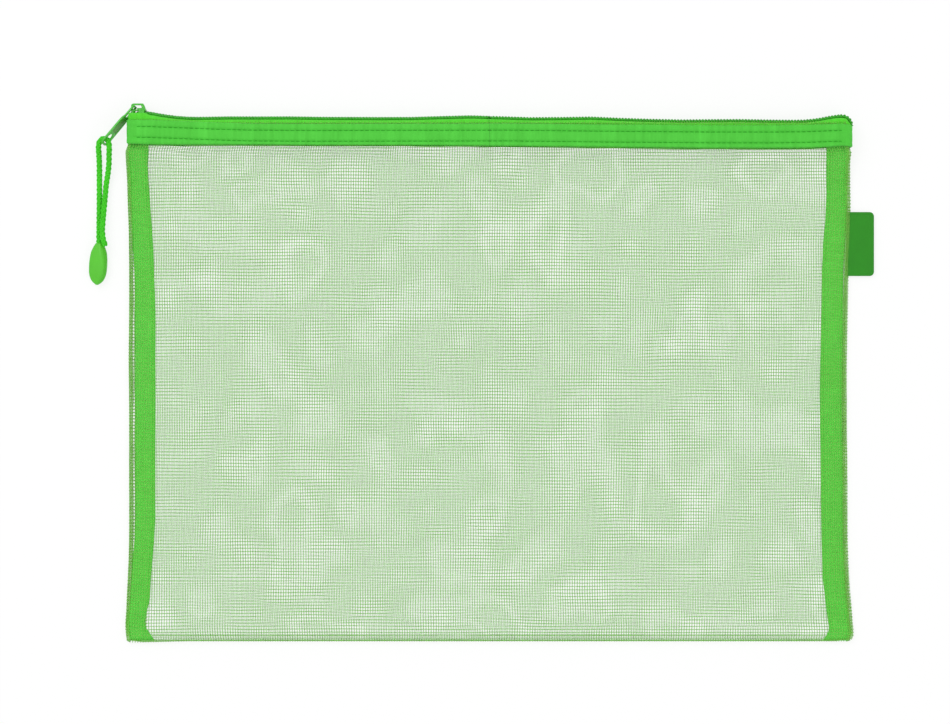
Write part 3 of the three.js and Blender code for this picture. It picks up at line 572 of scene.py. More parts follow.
def grown(name, tree, seed, values):
    """The plain mesh that a tree makes from a seed mesh with these inputs."""
    holder = linked(name + "_seed", seed)
    modifier = holder.modifiers.new("Grow", "NODES")
    modifier.node_group = tree
    for item in tree.interface.items_tree:
        if item.item_type == "SOCKET" and item.in_out == "INPUT" and item.name in values:
            modifier[item.identifier] = values[item.name]
    mesh = evaluated(holder)
    mesh.name = name
    return mesh


def polyline(name, points):
    """A chain of edges through points in millimetres."""
    mesh = bpy.data.meshes.new(name)
    edges = [(i, i + 1) for i in range(len(points) - 1)]
    mesh.from_pydata((np.asarray(points, float) * MM).tolist(), edges, [])
    return mesh


def thread_tree():
    """Copies of a station line laid on a sheet by its flat cloth coordinates, as net threads."""
    sizes = ("First", "Step", "Across", "Lift", "Waver", "Fringe", "Drift", "Radius")
    tree, graph, given = tree_with("net_threads", sizes, ints=["Threads"], objects=["Sheet"])
    across, drift = given["Across"], given["Drift"]
    copies, number = graph.copies(graph.line(given["Geometry"]), given["Threads"])
    station = graph.split(graph.position())[0] / MM
    place = given["First"] + number * given["Step"]
    u = place * (1.0 - across) + station * across
    v = station * (1.0 - across) + place * across
    broad = graph.joined(u * 5.0 + v * 1.6 + drift, v * 3.6 - drift, across * 7.3)
    patch = graph.joined(u * 13.0 - v * 5.0 - drift, v * 11.0 + u * 4.0, drift)
    stray = (graph.noise(broad, 1.0, 1.0) - 0.5) * 1.2 + (graph.noise(patch, 1.0, 1.0) - 0.5) * 2.4
    fringe = graph.noise(graph.joined(u * 3.0, v * 30.0, drift), 1.0, 1.0) - 0.5
    near_fold = graph.clamped(1.6 - v * 5.0) * given["Fringe"] * across
    stray = (stray + fringe * near_fold) * given["Waver"]

    def inside(share):
        """0 at the sheet's edges, where no thread may stray, and 1 further in."""
        return graph.clamped(share * 26.0) * graph.clamped((1.0 - share) * 26.0)

    u = u + stray * (1.0 - across) * inside(u)
    v = v + stray * across * inside(v)
    spot = graph.joined(graph.clamped(u, 0.0002, 0.9998), graph.clamped(v, 0.0002, 0.9998), 0.0)
    sheet = graph.from_object(given["Sheet"])
    cloth = graph.wire("GeometryNodeInputNamedAttribute", {"data_type": "FLOAT_VECTOR"}, {"Name": "UVMap"})

    def sampled(field):
        sockets = {"Mesh": sheet, "Value": field, "UV Map": cloth, "Sample UV": spot}
        return graph.wire("GeometryNodeSampleUVSurface", {"data_type": "FLOAT_VECTOR"}, sockets)

    out = graph.vector("SCALE", sampled(graph.wire("GeometryNodeInputNormal")), given["Lift"])
    laid = graph.placed(copies, Position=graph.vector("ADD", sampled(graph.position()), out))
    tree_ends(graph, graph.tube(laid, given["Radius"], 4), given["Material"])
    return tree


def stitch_tree():
    """Stitches at an even pitch along a line."""
    tree, graph, given = tree_with("stitches", ["Pitch"], objects=["Stitch"])
    even = graph.even(graph.line(given["Geometry"]), given["Pitch"])
    tangent = graph.wire("GeometryNodeInputTangent")
    turn = graph.wire("FunctionNodeAlignRotationToVector", {"axis": "X"}, {"Vector": tangent})
    sockets = {"Points": even, "Instance": graph.from_object(given["Stitch"]), "Rotation": turn}
    tree_ends(graph, graph.wire("GeometryNodeInstanceOnPoints", None, sockets), given["Material"])
    return tree


def coil_tree():
    """A coil of monofilament along +Z, which is then laid along the zipper."""
    sizes = ("Turns", "Pitch", "Start", "Middle Y", "Middle Z", "Half Height", "Half Depth", "Radius")
    tree, graph, given = tree_with("zipper_coil", sizes)
    sockets = {
        "Resolution": 12, "Rotations": given["Turns"], "Start Radius": 1.0, "End Radius": 1.0,
        "Height": given["Turns"] * given["Pitch"],
    }
    spiral = graph.wire("GeometryNodeCurveSpiral", None, sockets)
    c, s, along = graph.split(graph.position())
    place = graph.joined(
        given["Start"] + along,
        given["Middle Y"] + s * given["Half Height"],
        given["Middle Z"] + c * given["Half Depth"],
    )
    tree_ends(graph, graph.tube(graph.placed(spiral, Position=place), given["Radius"], 6), given["Material"])
    return tree


def braid_tree():
    """Strands that wind both ways round a line, over and under each other, on a plain core."""
    tree, graph, given = tree_with(
        "braided_cord", ("Pitch", "Middle", "Swell", "Radius", "Core"), ints=["Strands"]
    )
    fine = graph.even(graph.line(given["Geometry"]), 0.45 * MM)
    copies, number = graph.copies(fine, given["Strands"])
    share = number / given["Strands"]
    run = graph.wire("GeometryNodeSplineParameter", None, None, "Length") / given["Pitch"]
    tangent, normal = graph.wire("GeometryNodeInputTangent"), graph.wire("GeometryNodeInputNormal")
    beside = graph.vector("CROSS_PRODUCT", tangent, normal)
    tubes = []
    for way in (1.0, -1.0):
        angle = (run * way + share) * math.tau
        swell = graph.math("COSINE", run * (given["Strands"] * math.tau)) * given["Swell"] * way
        reach = given["Middle"] + swell
        side = graph.vector("SCALE", normal, graph.math("COSINE", angle) * reach)
        rise = graph.vector("SCALE", beside, graph.sin(angle) * reach)
        wound = graph.placed(copies, Offset=graph.vector("ADD", side, rise))
        tubes.append(graph.tube(wound, given["Radius"], 6))
    tubes.append(graph.tube(fine, given["Core"], 8))
    cord = graph.node("GeometryNodeJoinGeometry")
    for tube in tubes:
        tree.links.new(tube.socket, cord.inputs[0])
    tree_ends(graph, Wire(graph, cord.outputs[0]), given["Material"])
    return tree


# Shape of the pouch: how its edges, its depth and its top edge run, in millimetres

OUTLINE_Y = [
    -120, -118.6, -116.8, -114, -111.4, -104, -96.8, -86, -74, -9, 7, 30, 55, 67, 80, 90, 100, 106,
    107.5, 109, 112.6, 117,
]
OUTLINE_LEFT = [
    0.3, -0.7, -1.0, -1.3, -1.4, -0.9, -0.6, 0, 0.4, 0.4, 0.1, 0.4, 0.4, 0.3, -0.3, -0.5, -0.9, -0.9,
    -1.1, -1.4, -0.5, -0.1,
]
OUTLINE_RIGHT = [
    -0.4, 0.6, 1.4, 1.4, 1.0, 0.5, -0.3, -0.9, -1.3, -1.75, -1.75, -1.3, -0.8, -0.2, 0.1, -0.2, -0.4,
    0.5, 0.6, 0.2, 0.1, 0,
]


def side_x(across, y):
    """Place across the pouch for a share from -1 to 1, with the side edges as they really run."""
    left, right = np.interp(y, OUTLINE_Y, OUTLINE_LEFT), np.interp(y, OUTLINE_Y, OUTLINE_RIGHT)
    return across * SIDE + np.where(across < 0, left, right) * np.abs(across) ** 8


def seam_z(y):
    """Height of the side seams, which climb to the zipper at the top corners."""
    return FOLD_Z + (CHAIN_Z - FOLD_Z) * smooth_step((y - 88) / 18)


TOP_X = [
    -165, -155.5, -154.5, -152.7, -150, -148.2, -146.3, -144.5, -142.7, -140.9, -137.2, -131.8, -118,
    -104.5, -91, -77, -50, -36, -22.5, -9, 5, 18.4, 32, 46, 59, 73, 87, 100, 114, 128, 138, 143, 146.8,
    150.4, 154, 157.7, 159.5, 161.4,
]
TOP_RISE = [
    1.9, 2.1, 1.9, 1.65, 1.1, 0.84, 0.52, 0.35, 0.05, -0.07, -0.34, -0.43, -0.2, -0.25, -0.2, -0.43,
    -0.52, -0.5, -0.1, 0.25, -0.16, -0.6, -0.52, -0.3, -0.89, -1.35, -1.65, -1.52, -1.45, -1.7, -1.8,
    -1.7, -1.35, -0.85, -0.1, 0.45, 0.7, 0.6,
]


def top_rise(x):
    """How far the zipper stands above its straight line: it climbs into the slider and sags to the right."""
    return np.interp(x, TOP_X, TOP_RISE)


BAND_X = [-165, -160, -154.5, -141, -127, -109, -81.7, -36, 9.3, 55, 100, 127.7, 142.7, 154, 160, 163.6, 165]
ROWS_RISE = [
    1.8, 1.75, 1.7, 1.2, 0.64, 0.1, -0.1, 0, 0.1, -0.43, -0.75, -0.78, -0.6, -0.2, -0.05, -0.45, -0.6,
]
FOOT_RISE = [
    1.1, 1.0, 0.72, 0.55, 0.6, 0.65, 0.45, 0.45, 0, -0.45, -0.95, -0.95, -0.85, -0.4, 0.1, -0.3, -0.5,
]


def band_rise(x, y):
    """How far the covering bands stand above their straight lines, at their foot and at their stitches."""
    share = np.clip((y - BAND_BOTTOM) / (STITCH_ROWS[1] - BAND_BOTTOM), 0, 1)
    return np.interp(x, BAND_X, FOOT_RISE) * (1 - share) + np.interp(x, BAND_X, ROWS_RISE) * share


# by side: places up the pouch, and the outer and inner edges of its binding there
BINDING_EDGES = {
    "left": (
        [
            -119.4, -117.4, -116.6, -115.4, -112.9, -110.2, -107.2, -103.8, -100.5, -91.2, -82, -72.9,
            -63.8, 31, 49, 63.8, 72.9, 88.5, 97, 107.8,
        ],
        [
            -163.8, -164.6, -164.8, -165.1, -165.6, -165.6, -165.2, -164.7, -164.3, -163.6, -162.9,
            -161.9, -161.6, -161.7, -162.0, -163.0, -163.6, -164.6, -164.8, -164.6,
        ],
        [
            -152.4, -153.9, -154.4, -155.2, -156.9, -157.2, -156.6, -155.8, -154.9, -154.4, -153.7,
            -152.9, -152.4, -152.4, -152.9, -153.6, -154.2, -155.4, -155.7, -155.0,
        ],
    ),
    "right": (
        [
            -119.4, -117.4, -116.6, -115.4, -112.9, -109, -104, -100.5, -91.2, -82, -72.9, -55, -10, 7,
            31, 49, 63.8, 72.9, 88.5, 97, 107.8,
        ],
        [
            163.8, 164.5, 164.9, 165.0, 164.8, 164.3, 163.6, 163.2, 162.2, 161.8, 161.4, 161.4, 161.0,
            161.2, 161.4, 161.4, 162.4, 162.9, 163.3, 163.6, 164.0,
        ],
        [
            152.0, 153.2, 153.8, 154.6, 154.8, 154.2, 153.5, 153.2, 152.0, 151.7, 151.4, 151.1, 150.7,
            150.9, 151.4, 151.6, 152.3, 153.2, 153.8, 153.6, 153.2,
        ],
    ),
}


def middle_z(y):
    """Height of the front panel along the middle of the pouch."""
    start = FOLD_Y + 0.3
    low = 2.5 + 3.5 * np.sqrt(np.clip((y - start) / 14, 0, 1))
    return low + (8.4 - low) * smooth_step((y - start) / (103.5 - start)) + 0.25


def dome(edge, width):
    """Rise from 0 at an edge to 1 at this distance from it, as a quarter of a sine wave."""
    return np.sin(np.clip(edge / width, 0, 1) * math.pi / 2)


def panel_point(across, y, front):
    """A point of the front or back panel."""
    edge = SIDE * (1 - np.abs(across))
    seam = seam_z(y)
    tucked = 1 - 1.3 / SIDE * smooth_step((y - 103) / 3)
    x = side_x(across, y) * tucked
    if front:
        width = 2.5 + 17.5 * smooth_step((y + 118.5) / 12) * (1 - smooth_step((y - 86) / 18))
        z = seam + (middle_z(y) - seam) * dome(edge, width)
        z = z + 0.3 * np.sin(x / 37 + 1) * np.sin(y / 29) * dome(edge, 40) * smooth_step((98 - y) / 30)
    else:
        flat = 0.25 + 0.7 * smooth_step((y - 103.5) / 2.4)
        z = flat + (seam - flat) * (1 - dome(edge, 2.5))
    lift = np.interp(x, [-165, -150, -130, 165], [1.2, 1.0, 0, 0]) * smooth_step((y - 92) / 14)
    return x, y + lift, z


def sheet_mesh(name, rows, columns):
    """A cloth surface as a grid with its flat coordinates as a UV map. Rows are functions of the columns."""
    grid = np.array([np.stack(row(columns), -1) for row in rows])
    steps = np.linalg.norm(np.diff(grid[:, len(columns) // 2], axis=0), axis=1)
    along = np.concatenate([[0], np.cumsum(steps)])
    total = along[-1]
    mesh = bpy.data.meshes.new(name)
    mesh.from_pydata((grid.reshape(-1, 3) * MM).tolist(), [], quads(len(rows), len(columns), False))
    flat = mesh.uv_layers.new(name="UVMap")
    u = (columns - columns[0]) / (columns[-1] - columns[0])
    places = np.stack(np.broadcast_arrays(u[None, :], (along / total)[:, None]), -1).reshape(-1, 2)
    index = np.zeros(len(mesh.loops), int)
    mesh.loops.foreach_get("vertex_index", index)
    flat.data.foreach_set("uv", places[index].ravel())
    return linked(name, mesh), along / total, total


def net_on(
    name, tree, sheet, stations, size, drift, surface, span=(0.0, 1.0), selvedges=(), fringe=0.0,
    offset=(0.0, 0.0), closer=1.0, fold_rows=0,
):
    """Warp and weft threads over a sheet. Size is its flat width and length; span is the share of its width.

    Drift is a seed for how the threads stray.
    Offset moves the warp and the weft by shares of a pitch, and closer draws them together about the middle.
    Fold rows are extra weft threads that lie close to each other at the sheet's far end.
    """
    settings = bpy.context.scene.pouch_net
    radius = settings.thread / 2
    width, long = size
    waver = settings.waver / MM
    share = span[1] - span[0]
    rows = max(2, round(long / (settings.weft_pitch / MM)))
    threads = max(2, round(width * share / (settings.warp_pitch / MM)))
    step = share / threads
    points = np.linspace(*span, max(3, round(width * share / 7)))
    closest, fold_step = settings.selvedge_pitch / MM / width, FOLD_PITCH / long

    def threads_of(kind, count, first, step, stray, across=0.0):
        """Threads of one kind. Those that run across lie under those that run up."""
        places = points if across else stations
        return grown(
            f"{name}_{kind}", tree, polyline(f"{kind}_line", [(s, 0, 0) for s in places]),
            {
                "Sheet": sheet, "Radius": radius, "Material": surface, "Drift": drift, "Fringe": fringe,
                "Threads": count, "First": first, "Step": step, "Across": across, "Waver": stray,
                "Lift": radius * (-0.9 if across else 0.9),
            },
        )

    first_up = 0.5 + (span[0] - 0.5 + step * (0.5 + offset[0])) * closer
    first_over = 0.5 + ((0.5 + offset[1]) / rows - 0.5) * closer
    parts = [
        threads_of("warp", threads, first_up, step * closer, waver / width),
        threads_of("weft", rows, first_over, closer / rows, waver / long * 0.8, 1.0),
        *(threads_of("selvedge", SELVEDGE_THREADS, first, closest, 0.0) for first in selvedges),
    ]
    if fold_rows:
        parts.append(threads_of("fold", fold_rows, 1 - fold_step * fold_rows, fold_step, 0.0, 1.0))
    return joined(name, parts)


def eye_blend(piece):
    """Bakes a front piece's place into its mesh."""
    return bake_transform(piece)


# Sewn strips: a section swept along the zipper

# the front's two halves and the back in one piece: side, tag and way along x
STRIPS = (("front", "_left", -1), ("front", "_right", 1), ("back", "", 0))


def strip_piece(side, kind, tag, mesh, replaces=()):
    """A finished strip. The back's rides on the pouch, and the front's halves have their place baked into
    their meshes.
    """
    front = side == "front"
    piece = finished(f"{side}_{kind}{tag}", mesh, None if front else "pouch", replaces)
    if front:
        eye_blend(piece)


def strip_range(way, low, high):
    """Where a strip starts and ends: the left half, all, or the right half for -1, 0 and 1."""
    return 0.0 if way > 0 else low, 0.0 if way < 0 else high


def strip_stations(low, high, step, extra):
    """Places along the zipper at an even step, and extra ones."""
    even = np.linspace(low, high, max(2, round((high - low) / step) + 1))
    return np.unique(np.round(np.concatenate([even, extra]), 4))


def closed_end(places, middle, front):
    """Turns the last millimetres of a strip down, so that front and back meet at the pouch's ends."""
    sign = 1 if front else -1
    turn, start = 2.2, SIDE - 2.75
    x, y, z = places.T
    past = np.maximum(np.abs(x) - start, 0)
    angle = np.minimum(past / turn, math.pi / 2)
    reach = turn + (z - middle) * sign
    straight = np.maximum(past - turn * math.pi / 2, 0)
    new_x = np.where(past > 0, np.sign(x) * (start + reach * np.sin(angle)), x)
    new_z = np.where(past > 0, middle + sign * (reach * np.cos(angle) - turn - straight), z)
    return np.stack([new_x, y, new_z], -1)


# Operators


class POUCH_OT_stage(bpy.types.Operator):
    """Camera, lamps, white surroundings and a pale floor"""

    bl_idname = "pouch.stage"
    bl_label = "Stage"

    def execute(self, context):
        studio = context.scene.pouch_studio
        context.scene.view_settings.view_transform = "Standard"
        lens = bpy.data.cameras.new("camera")
        lens.lens, lens.sensor_width, lens.clip_start, lens.clip_end = studio.lens, SENSOR, 0.05, 20
        camera = linked("camera", lens)
        away = SEEN_WIDTH / SENSOR * studio.lens
        camera.location = (-6.6 * MM, 7.9 * MM, (away + CHAIN_Z) * MM)
        context.scene.camera = camera

        for name, power, size, place in (
            ("key_lamp", studio.key_power, 1.3, (-0.75, 0.85, 1.45)),
            ("fill_lamp", studio.fill_power, 1.0, (0.95, -0.7, 1.2)),
        ):
            light = bpy.data.lights.new(name, "AREA")
            light.energy, light.shape, light.size = power, "DISK", size
            lamp = linked(name, light)
            lamp.location = place
            lamp.rotation_euler = (-Vector(place)).to_track_quat("-Z", "Y").to_euler()

        world = bpy.data.worlds.new("surroundings")
        world.use_nodes = True
        background = world.node_tree.nodes["Background"]
        background.inputs["Color"].default_value = (1, 1, 1, 1)
        strength = self.seen(Graph(world.node_tree)) * (1.0 - studio.sky) + studio.sky
        world.node_tree.links.new(strength.socket, background.inputs["Strength"])
        context.scene.world = world

        corners = [(x, y, -0.15) for x, y in arc(0, 0, 6000, 0, 360, 97)[:-1]]
        floor = mesh_of("floor", corners, [tuple(range(96))], self.floor_material(), smooth=False)
        finished("floor", floor)
        return {"FINISHED"}

    @staticmethod
    def seen(graph):
        """1 for rays that show a background: from the camera, or off gloss or through glass."""
        path = graph.node("ShaderNodeLightPath")
        rays = [Wire(graph, path.outputs[f"Is {kind} Ray"]) for kind in ("Camera", "Glossy", "Transmission")]
        return graph.math("MAXIMUM", graph.math("MAXIMUM", rays[0], rays[1]), rays[2])

    def floor_material(self):
        """A pale floor that shows nearly white and still takes a little shadow."""
        made = bpy.data.materials.new("pale floor")
        made.use_nodes = True
        nodes, links = made.node_tree.nodes, made.node_tree.links
        graph = Graph(made.node_tree)
        shader = nodes["Principled BSDF"]
        pale = {"Base Color": (0.93, 0.93, 0.93, 1), "Roughness": 0.9, "Specular IOR Level": 0.1}
        for key, value in pale.items():
            shader.inputs[key].default_value = value
        white = graph.node("ShaderNodeEmission", None, {"Color": (1, 1, 1, 1), "Strength": 1.05})
        mixed = graph.node("ShaderNodeMixShader", None, {0: self.seen(graph) * 0.78})
        links.new(shader.outputs[0], mixed.inputs[1])
        links.new(white.outputs[0], mixed.inputs[2])
        links.new(mixed.outputs[0], nodes["Material Output"].inputs["Surface"])
        return made


def through_points(points):
    """A smooth line through points, as a centripetal spline."""
    ends = [2 * points[0] - points[1], *points, 2 * points[-1] - points[-2]]
    out = []
    for four in zip(ends, ends[1:], ends[2:], ends[3:]):
        pairs = list(zip(four, four[1:]))
        t = np.cumsum([0, *(np.linalg.norm(q - p) ** 0.5 for p, q in pairs)])
        for s in np.linspace(t[1], t[2], 10, endpoint=False):
            a = [((t[i + 1] - s) * p + (s - t[i]) * q) / (t[i + 1] - t[i]) for i, (p, q) in enumerate(pairs)]
            b = [((t[i + 2] - s) * a[i] + (s - t[i]) * a[i + 1]) / (t[i + 2] - t[i]) for i in range(2)]
            out.append(((t[2] - s) * b[0] + (s - t[1]) * b[1]) / (t[2] - t[1]))
    return np.array([*out, points[-1]])


def pull_axes():
    """Directions of the pull tab: along it from its hinge, across it, and through it."""
    sin, cos = math.sin(PULL_ANGLE), math.cos(PULL_ANGLE)
    lean, stand = math.sin(PULL_TILT), math.cos(PULL_TILT)
    return np.array([[cos, sin, 0], [lean * sin, -lean * cos, stand], [-stand * sin, stand * cos, lean]])


def cord_route():
    """The cord's middle line in millimetres: up one strand, round the end bar and down the other."""
    along, _, through = pull_axes()
    near = [
        (-2.4, -46.6, 2.8), (-2.4, -44.8, 2.6), (-2.5, -41.6, 2.0), (-2.5, -35.8, 1.5), (-2.4, -26.5, 1.5),
        (-2.4, -16.3, 1.5), (-2.4, -9.5, 1.7), (-2.5, -4.8, 2.5), (-2.6, -1.8, 3.5),
    ]
    far = [
        (2.5, -1.6, 5.6), (2.4, -5, 5.1), (2.2, -9.5, 4.2), (1.6, -14, 3.1), (0.8, -18.5, 2.3),
        (0.35, -23.3, 2.3), (-0.1, -29.5, 3.2), (-0.6, -35.7, 3.8), (-0.8, -40.3, 4.0), (-0.3, -43.9, 4.3),
        (0.6, -46.5, 4.5),
    ]
    loop = [
        np.array([0, 0, CHAIN_Z]) - BAR_REACH * (math.cos(a) * along + math.sin(a) * through)
        for a in map(math.radians, (110, 75, 40, 0, -30))
    ]
    return through_points(np.array([*near, *loop, *far]) + END_BAR)


class POUCH_OT_pull_cord(bpy.types.Operator):
    """Braided cord with its moulded end"""

    bl_idname = "pouch.pull_cord"
    bl_label = "Pull cord"

    def execute(self, context):
        settings, colours = context.scene.pouch_cord, context.scene.pouch_colours
        route = cord_route()
        radius = settings.thickness / 2
        strand = 0.27 * radius * 1.3
        mesh = grown(
            "pull_cord_braid", braid_tree(), polyline("cord_line", route),
            {
                "Strands": settings.strands, "Pitch": settings.braid_pitch, "Swell": strand * 0.36,
                "Middle": radius - strand * 1.3, "Radius": strand, "Core": radius - strand * 1.2,
                "Material": yarn("cord yarn", colours.cord, twist=0.35),
            },
        )
        cord = finished("braided_cord", mesh, "cord_pull", ["pull_cord"])
        tip = finished("cord_end", self.leaf(colours.tip), "cord_pull", ["cord_tip"])
        return {"FINISHED"}

    @staticmethod
    def leaf(colour):
        """A keeled leaf, drawn from its mouth along -y, then laid in its place."""
        share = np.linspace(0, 1, 34)
        given = [0, 0.08, 0.22, 0.38, 0.52, 0.72, 0.82, 0.9, 0.95, 1]
        widths = [0.4, 0.62, 0.88, 0.97, 1, 0.96, 0.84, 0.66, 0.48, 0.12]
        heights = [0.62, 0.76, 0.92, 1, 1, 0.94, 0.84, 0.68, 0.5, 0.18]
        width = np.interp(share, given, widths) * LEAF_HALF_WIDTH
        height = np.interp(share, given, heights) * LEAF_HEIGHT
        for sizes in (width, height, width, height):  # rounds both off, twice
            sizes[1:-1] = np.convolve(sizes, [0.25, 0.5, 0.25], "valid")
        keel = np.interp(share, [0, 0.1, 0.5, 0.8, 1], [0.1, 0.25, 0.62, 0.5, 0.1])
        x = -1 + 2 * ((1 - np.cos(np.linspace(0, math.pi, 15))) / 2)
        under = -(1 - np.abs(x) ** 2.4) * 0.96
        rings = []
        for s, w, h, k in zip(share, width, height, keel):
            left, right = np.clip((x + 1) / (1 + k), 0, 1), np.clip((1 - x) / (1 - k), 0, 1)
            section = [*zip(x, np.minimum(left, right) ** 0.62), *zip(x[-2:0:-1], under[-2:0:-1])]
            rings.append([(px * w, -LEAF_LENGTH * s, pz * h) for px, pz in section])
        points, faces = swept(rings)
        x, y, z = points.T
        sin, cos = math.sin(LEAF_LEAN), math.cos(LEAF_LEAN)
        placed = [END_BAR[0] - 2.2 + x * cos - y * sin, END_BAR[1] - 45.3 + x * sin + y * cos, z + 2.9]
        return mesh_of("leaf", np.stack(placed, -1), faces, moulded("moulded cord end", colour, 0.02, 0.4))


class POUCH_OT_net_panels(bpy.types.Operator):
    """Back and front net panels, woven thread by thread, with the seam allowances"""

    bl_idname = "pouch.net_panels"
    bl_label = "Net panels"

    def execute(self, context):
        tree = thread_tree()
        thread = yarn("net thread", context.scene.pouch_colours.net, 0.6, 0.12, 0.55, alpha=0.4)
        rim = np.array([0.985, 0.994, 0.998])
        columns = np.sort(np.concatenate([np.linspace(-1, 1, 71), -rim, rim]))
        stretches = ((117.2, 84, 26), (84, -104, 26), (-104, FOLD_Y, 14))
        heights = np.unique(np.concatenate([np.linspace(*stretch) for stretch in stretches]))
        fold = [self.fold_row(a) for a in np.linspace(-math.pi / 2, math.pi / 2, 9)]
        back_rows = [self.flat_row(y, False) for y in heights[::-1][:-1]] + fold
        front_rows = [fold[-1]] + [self.flat_row(y, True) for y in heights[1:]]
        back, back_stations, back_length = sheet_mesh("back_sheet", back_rows, columns)
        front, front_stations, front_length = sheet_mesh("front_sheet", front_rows, columns)

        picked = sorted({*back_stations[:-9:2], back_stations[-10], *back_stations[-9:]})
        mesh = net_on(
            "net_back_threads", tree, back, picked, (2 * SIDE, back_length), 3.7, thread,
            selvedges=SELVEDGES, fold_rows=9,
        )
        finished("net_back", mesh, "pouch", ["back_net"])
        picked = sorted({*front_stations[:8], *front_stations[8::2], front_stations[-1]})
        for name, span, edge in (("left", (0.0, 0.5), SELVEDGES[0]), ("right", (0.5, 1.0), SELVEDGES[1])):
            mesh = net_on(
                f"net_front_{name}_threads", tree, front, picked, (2 * SIDE, front_length), 11.2, thread,
                span, selvedges=(edge,), fringe=2.2, offset=(0.5, 0.39), closer=0.9948,
            )
            eye_blend(finished(f"net_front_{name}", mesh, None, ["front_net"]))
        for name, side in (("left", -1), ("right", 1)):
            layers = [self.allowance(layer, side, tree, thread) for layer in (0, 1)]
            finished(f"seam_net_{name}", joined(f"seam_net_{name}", layers), "pouch", ["back_net"])
        bpy.data.objects.remove(back)
        bpy.data.objects.remove(front)
        return {"FINISHED"}

    @staticmethod
    def flat_row(y, front):
        return lambda across: panel_point(across, np.full_like(across, y), front)

    @staticmethod
    def fold_row(angle):
        """A row of the bottom fold, at an angle round it."""

        def row(across):
            reach = FOLD_RADIUS * dome(SIDE * (1 - np.abs(across)), 2.5)
            y = FOLD_Y - reach * math.cos(angle)
            x = panel_point(across, np.full_like(across, FOLD_Y), False)[0]
            return x, y + np.interp(x, [-165, -150, -140], [-0.3, 0.0, 0.3]), FOLD_Z + reach * math.sin(angle)

        return row

    @staticmethod
    def allowance(layer, side, tree, thread):
        """One of the two layers of net that are turned in at a side seam."""
        drop = (-0.22, 0.22)[layer]

        def row_at(y):
            def row(share):
                outer = side_x(np.full_like(share, side), np.full_like(share, y))
                z = seam_z(y) + drop * np.minimum(1, share * 12)
                return outer - side * share * ALLOWANCE, np.full_like(share, y), np.full_like(share, z)

            return row

        rows = [row_at(y) for y in np.linspace(-116.5, 104, 40)]
        sheet, stations, run = sheet_mesh("allowance_sheet", rows, np.linspace(0.03, 1, 12))
        size = (ALLOWANCE, run)
        mesh = net_on(f"allowance_{layer}", tree, sheet, stations, size, 1.3 + layer, thread)
        bpy.data.objects.remove(sheet)
        return mesh


def one_stitch(context):
    """A stitch along +X: a short thread that dips into the cloth at both ends."""
    trim = context.scene.pouch_trim
    pitch, radius = trim.stitch_pitch / MM, trim.stitch_thread / MM / 2
    rings = []
    for t in np.linspace(-1, 1, 7):
        thick = radius * (1 - 0.35 * abs(t) ** 3)
        x, z = t * pitch * 0.49, radius * 0.4 - 0.9 * radius * abs(t) ** 3
        rings.append(
            [(x, thick * math.cos(a), z + thick * 0.8 * math.sin(a)) for a in np.arange(6) * math.tau / 6]
        )
    return linked("one_stitch", mesh_of("one_stitch", *swept(rings)))


def stitched(name, tree, stitch, row, thread):
    """Stitches along a row of points in millimetres."""
    pitch = bpy.context.scene.pouch_trim.stitch_pitch
    return grown(name, tree, polyline("row", row), {"Stitch": stitch, "Pitch": pitch, "Material": thread})


class POUCH_OT_bindings(bpy.types.Operator):
    """Folded tapes round the seam allowances inside the pouch"""

    bl_idname = "pouch.bindings"
    bl_label = "Bindings"

    # the section of a folded tape: shares of its width, and of half its thickness there
    SHARES = np.array([0, 0.02, 0.1, 0.3, 0.5, 0.7, 0.86, 0.95, 0.985, 1.0])
    HALVES = np.array([0.05, 0.4, 0.55, 0.72, 0.86, 0.82, 0.95, 1.0, 0.7, 0.0])

    def execute(self, context):
        colour = context.scene.pouch_colours.binding
        tree, stitch = stitch_tree(), one_stitch(context)
        thread = yarn("binding sewing thread", colour, twist=0.3)
        for name, (ys, outs, ins) in BINDING_EDGES.items():
            rings, row = [], []
            for y in np.linspace(-119.2, 107.5, 152):
                out, inner, middle = np.interp(y, ys, outs), np.interp(y, ys, ins), seam_z(y)
                thick = 0.78 * smooth_step((y + 119.8) / 4) + 0.12
                half = thick * self.HALVES
                x = out + (inner - out) * self.SHARES
                ring = [(a, y, middle + b) for a, b in zip(x, half)]
                ring += [(a, y, middle - b) for a, b in zip(x[-2::-1], half[-2::-1])]
                rings.append(ring)
                row.append((out + (inner - out) * 0.86, y, middle + thick * 0.97))
            look = {"rib": 0.5, "fill": 1.05, "relief": 0.05, "contrast": 0.1}
            surface = woven(f"{name} binding tape", colour, "y", **look)
            mesh = mesh_of(f"{name}_binding_tape", *swept(rings), surface)
            finished(f"{name}_binding_tape", mesh, "pouch", [f"{name}_binding"])
            mesh = stitched(f"{name}_binding_stitches", tree, stitch, row[3:-3], thread)
            finished(f"{name}_binding_stitches", mesh, "pouch", ())
        bpy.data.objects.remove(stitch)
        return {"FINISHED"}


def band_height(y, puff, calm=1.0):
    """Thickness of a covering band across its width: it dips at both rows of stitches and rolls at its foot.

    Where calm is 0, at the ends of the band, it is flat.
    """

    def soft(at, width):
        return np.exp(-(((y - at) / width) ** 2))

    edge = np.clip((BAND_TOP - y) / 0.35, 0, 1) ** 0.5 * np.clip((y - BAND_BOTTOM) / 0.45, 0, 1) ** 0.5
    swell = 0.5 * soft(106.8, 0.8) + 0.25 * soft(110.6, 1.6) + 0.2 * soft(114.7, 1.0)
    grooves = soft(STITCH_ROWS[0], 0.5) + soft(STITCH_ROWS[1], 0.5)
    return edge * (0.5 + puff * (0.6 + calm * (swell - 1.5 * grooves)))


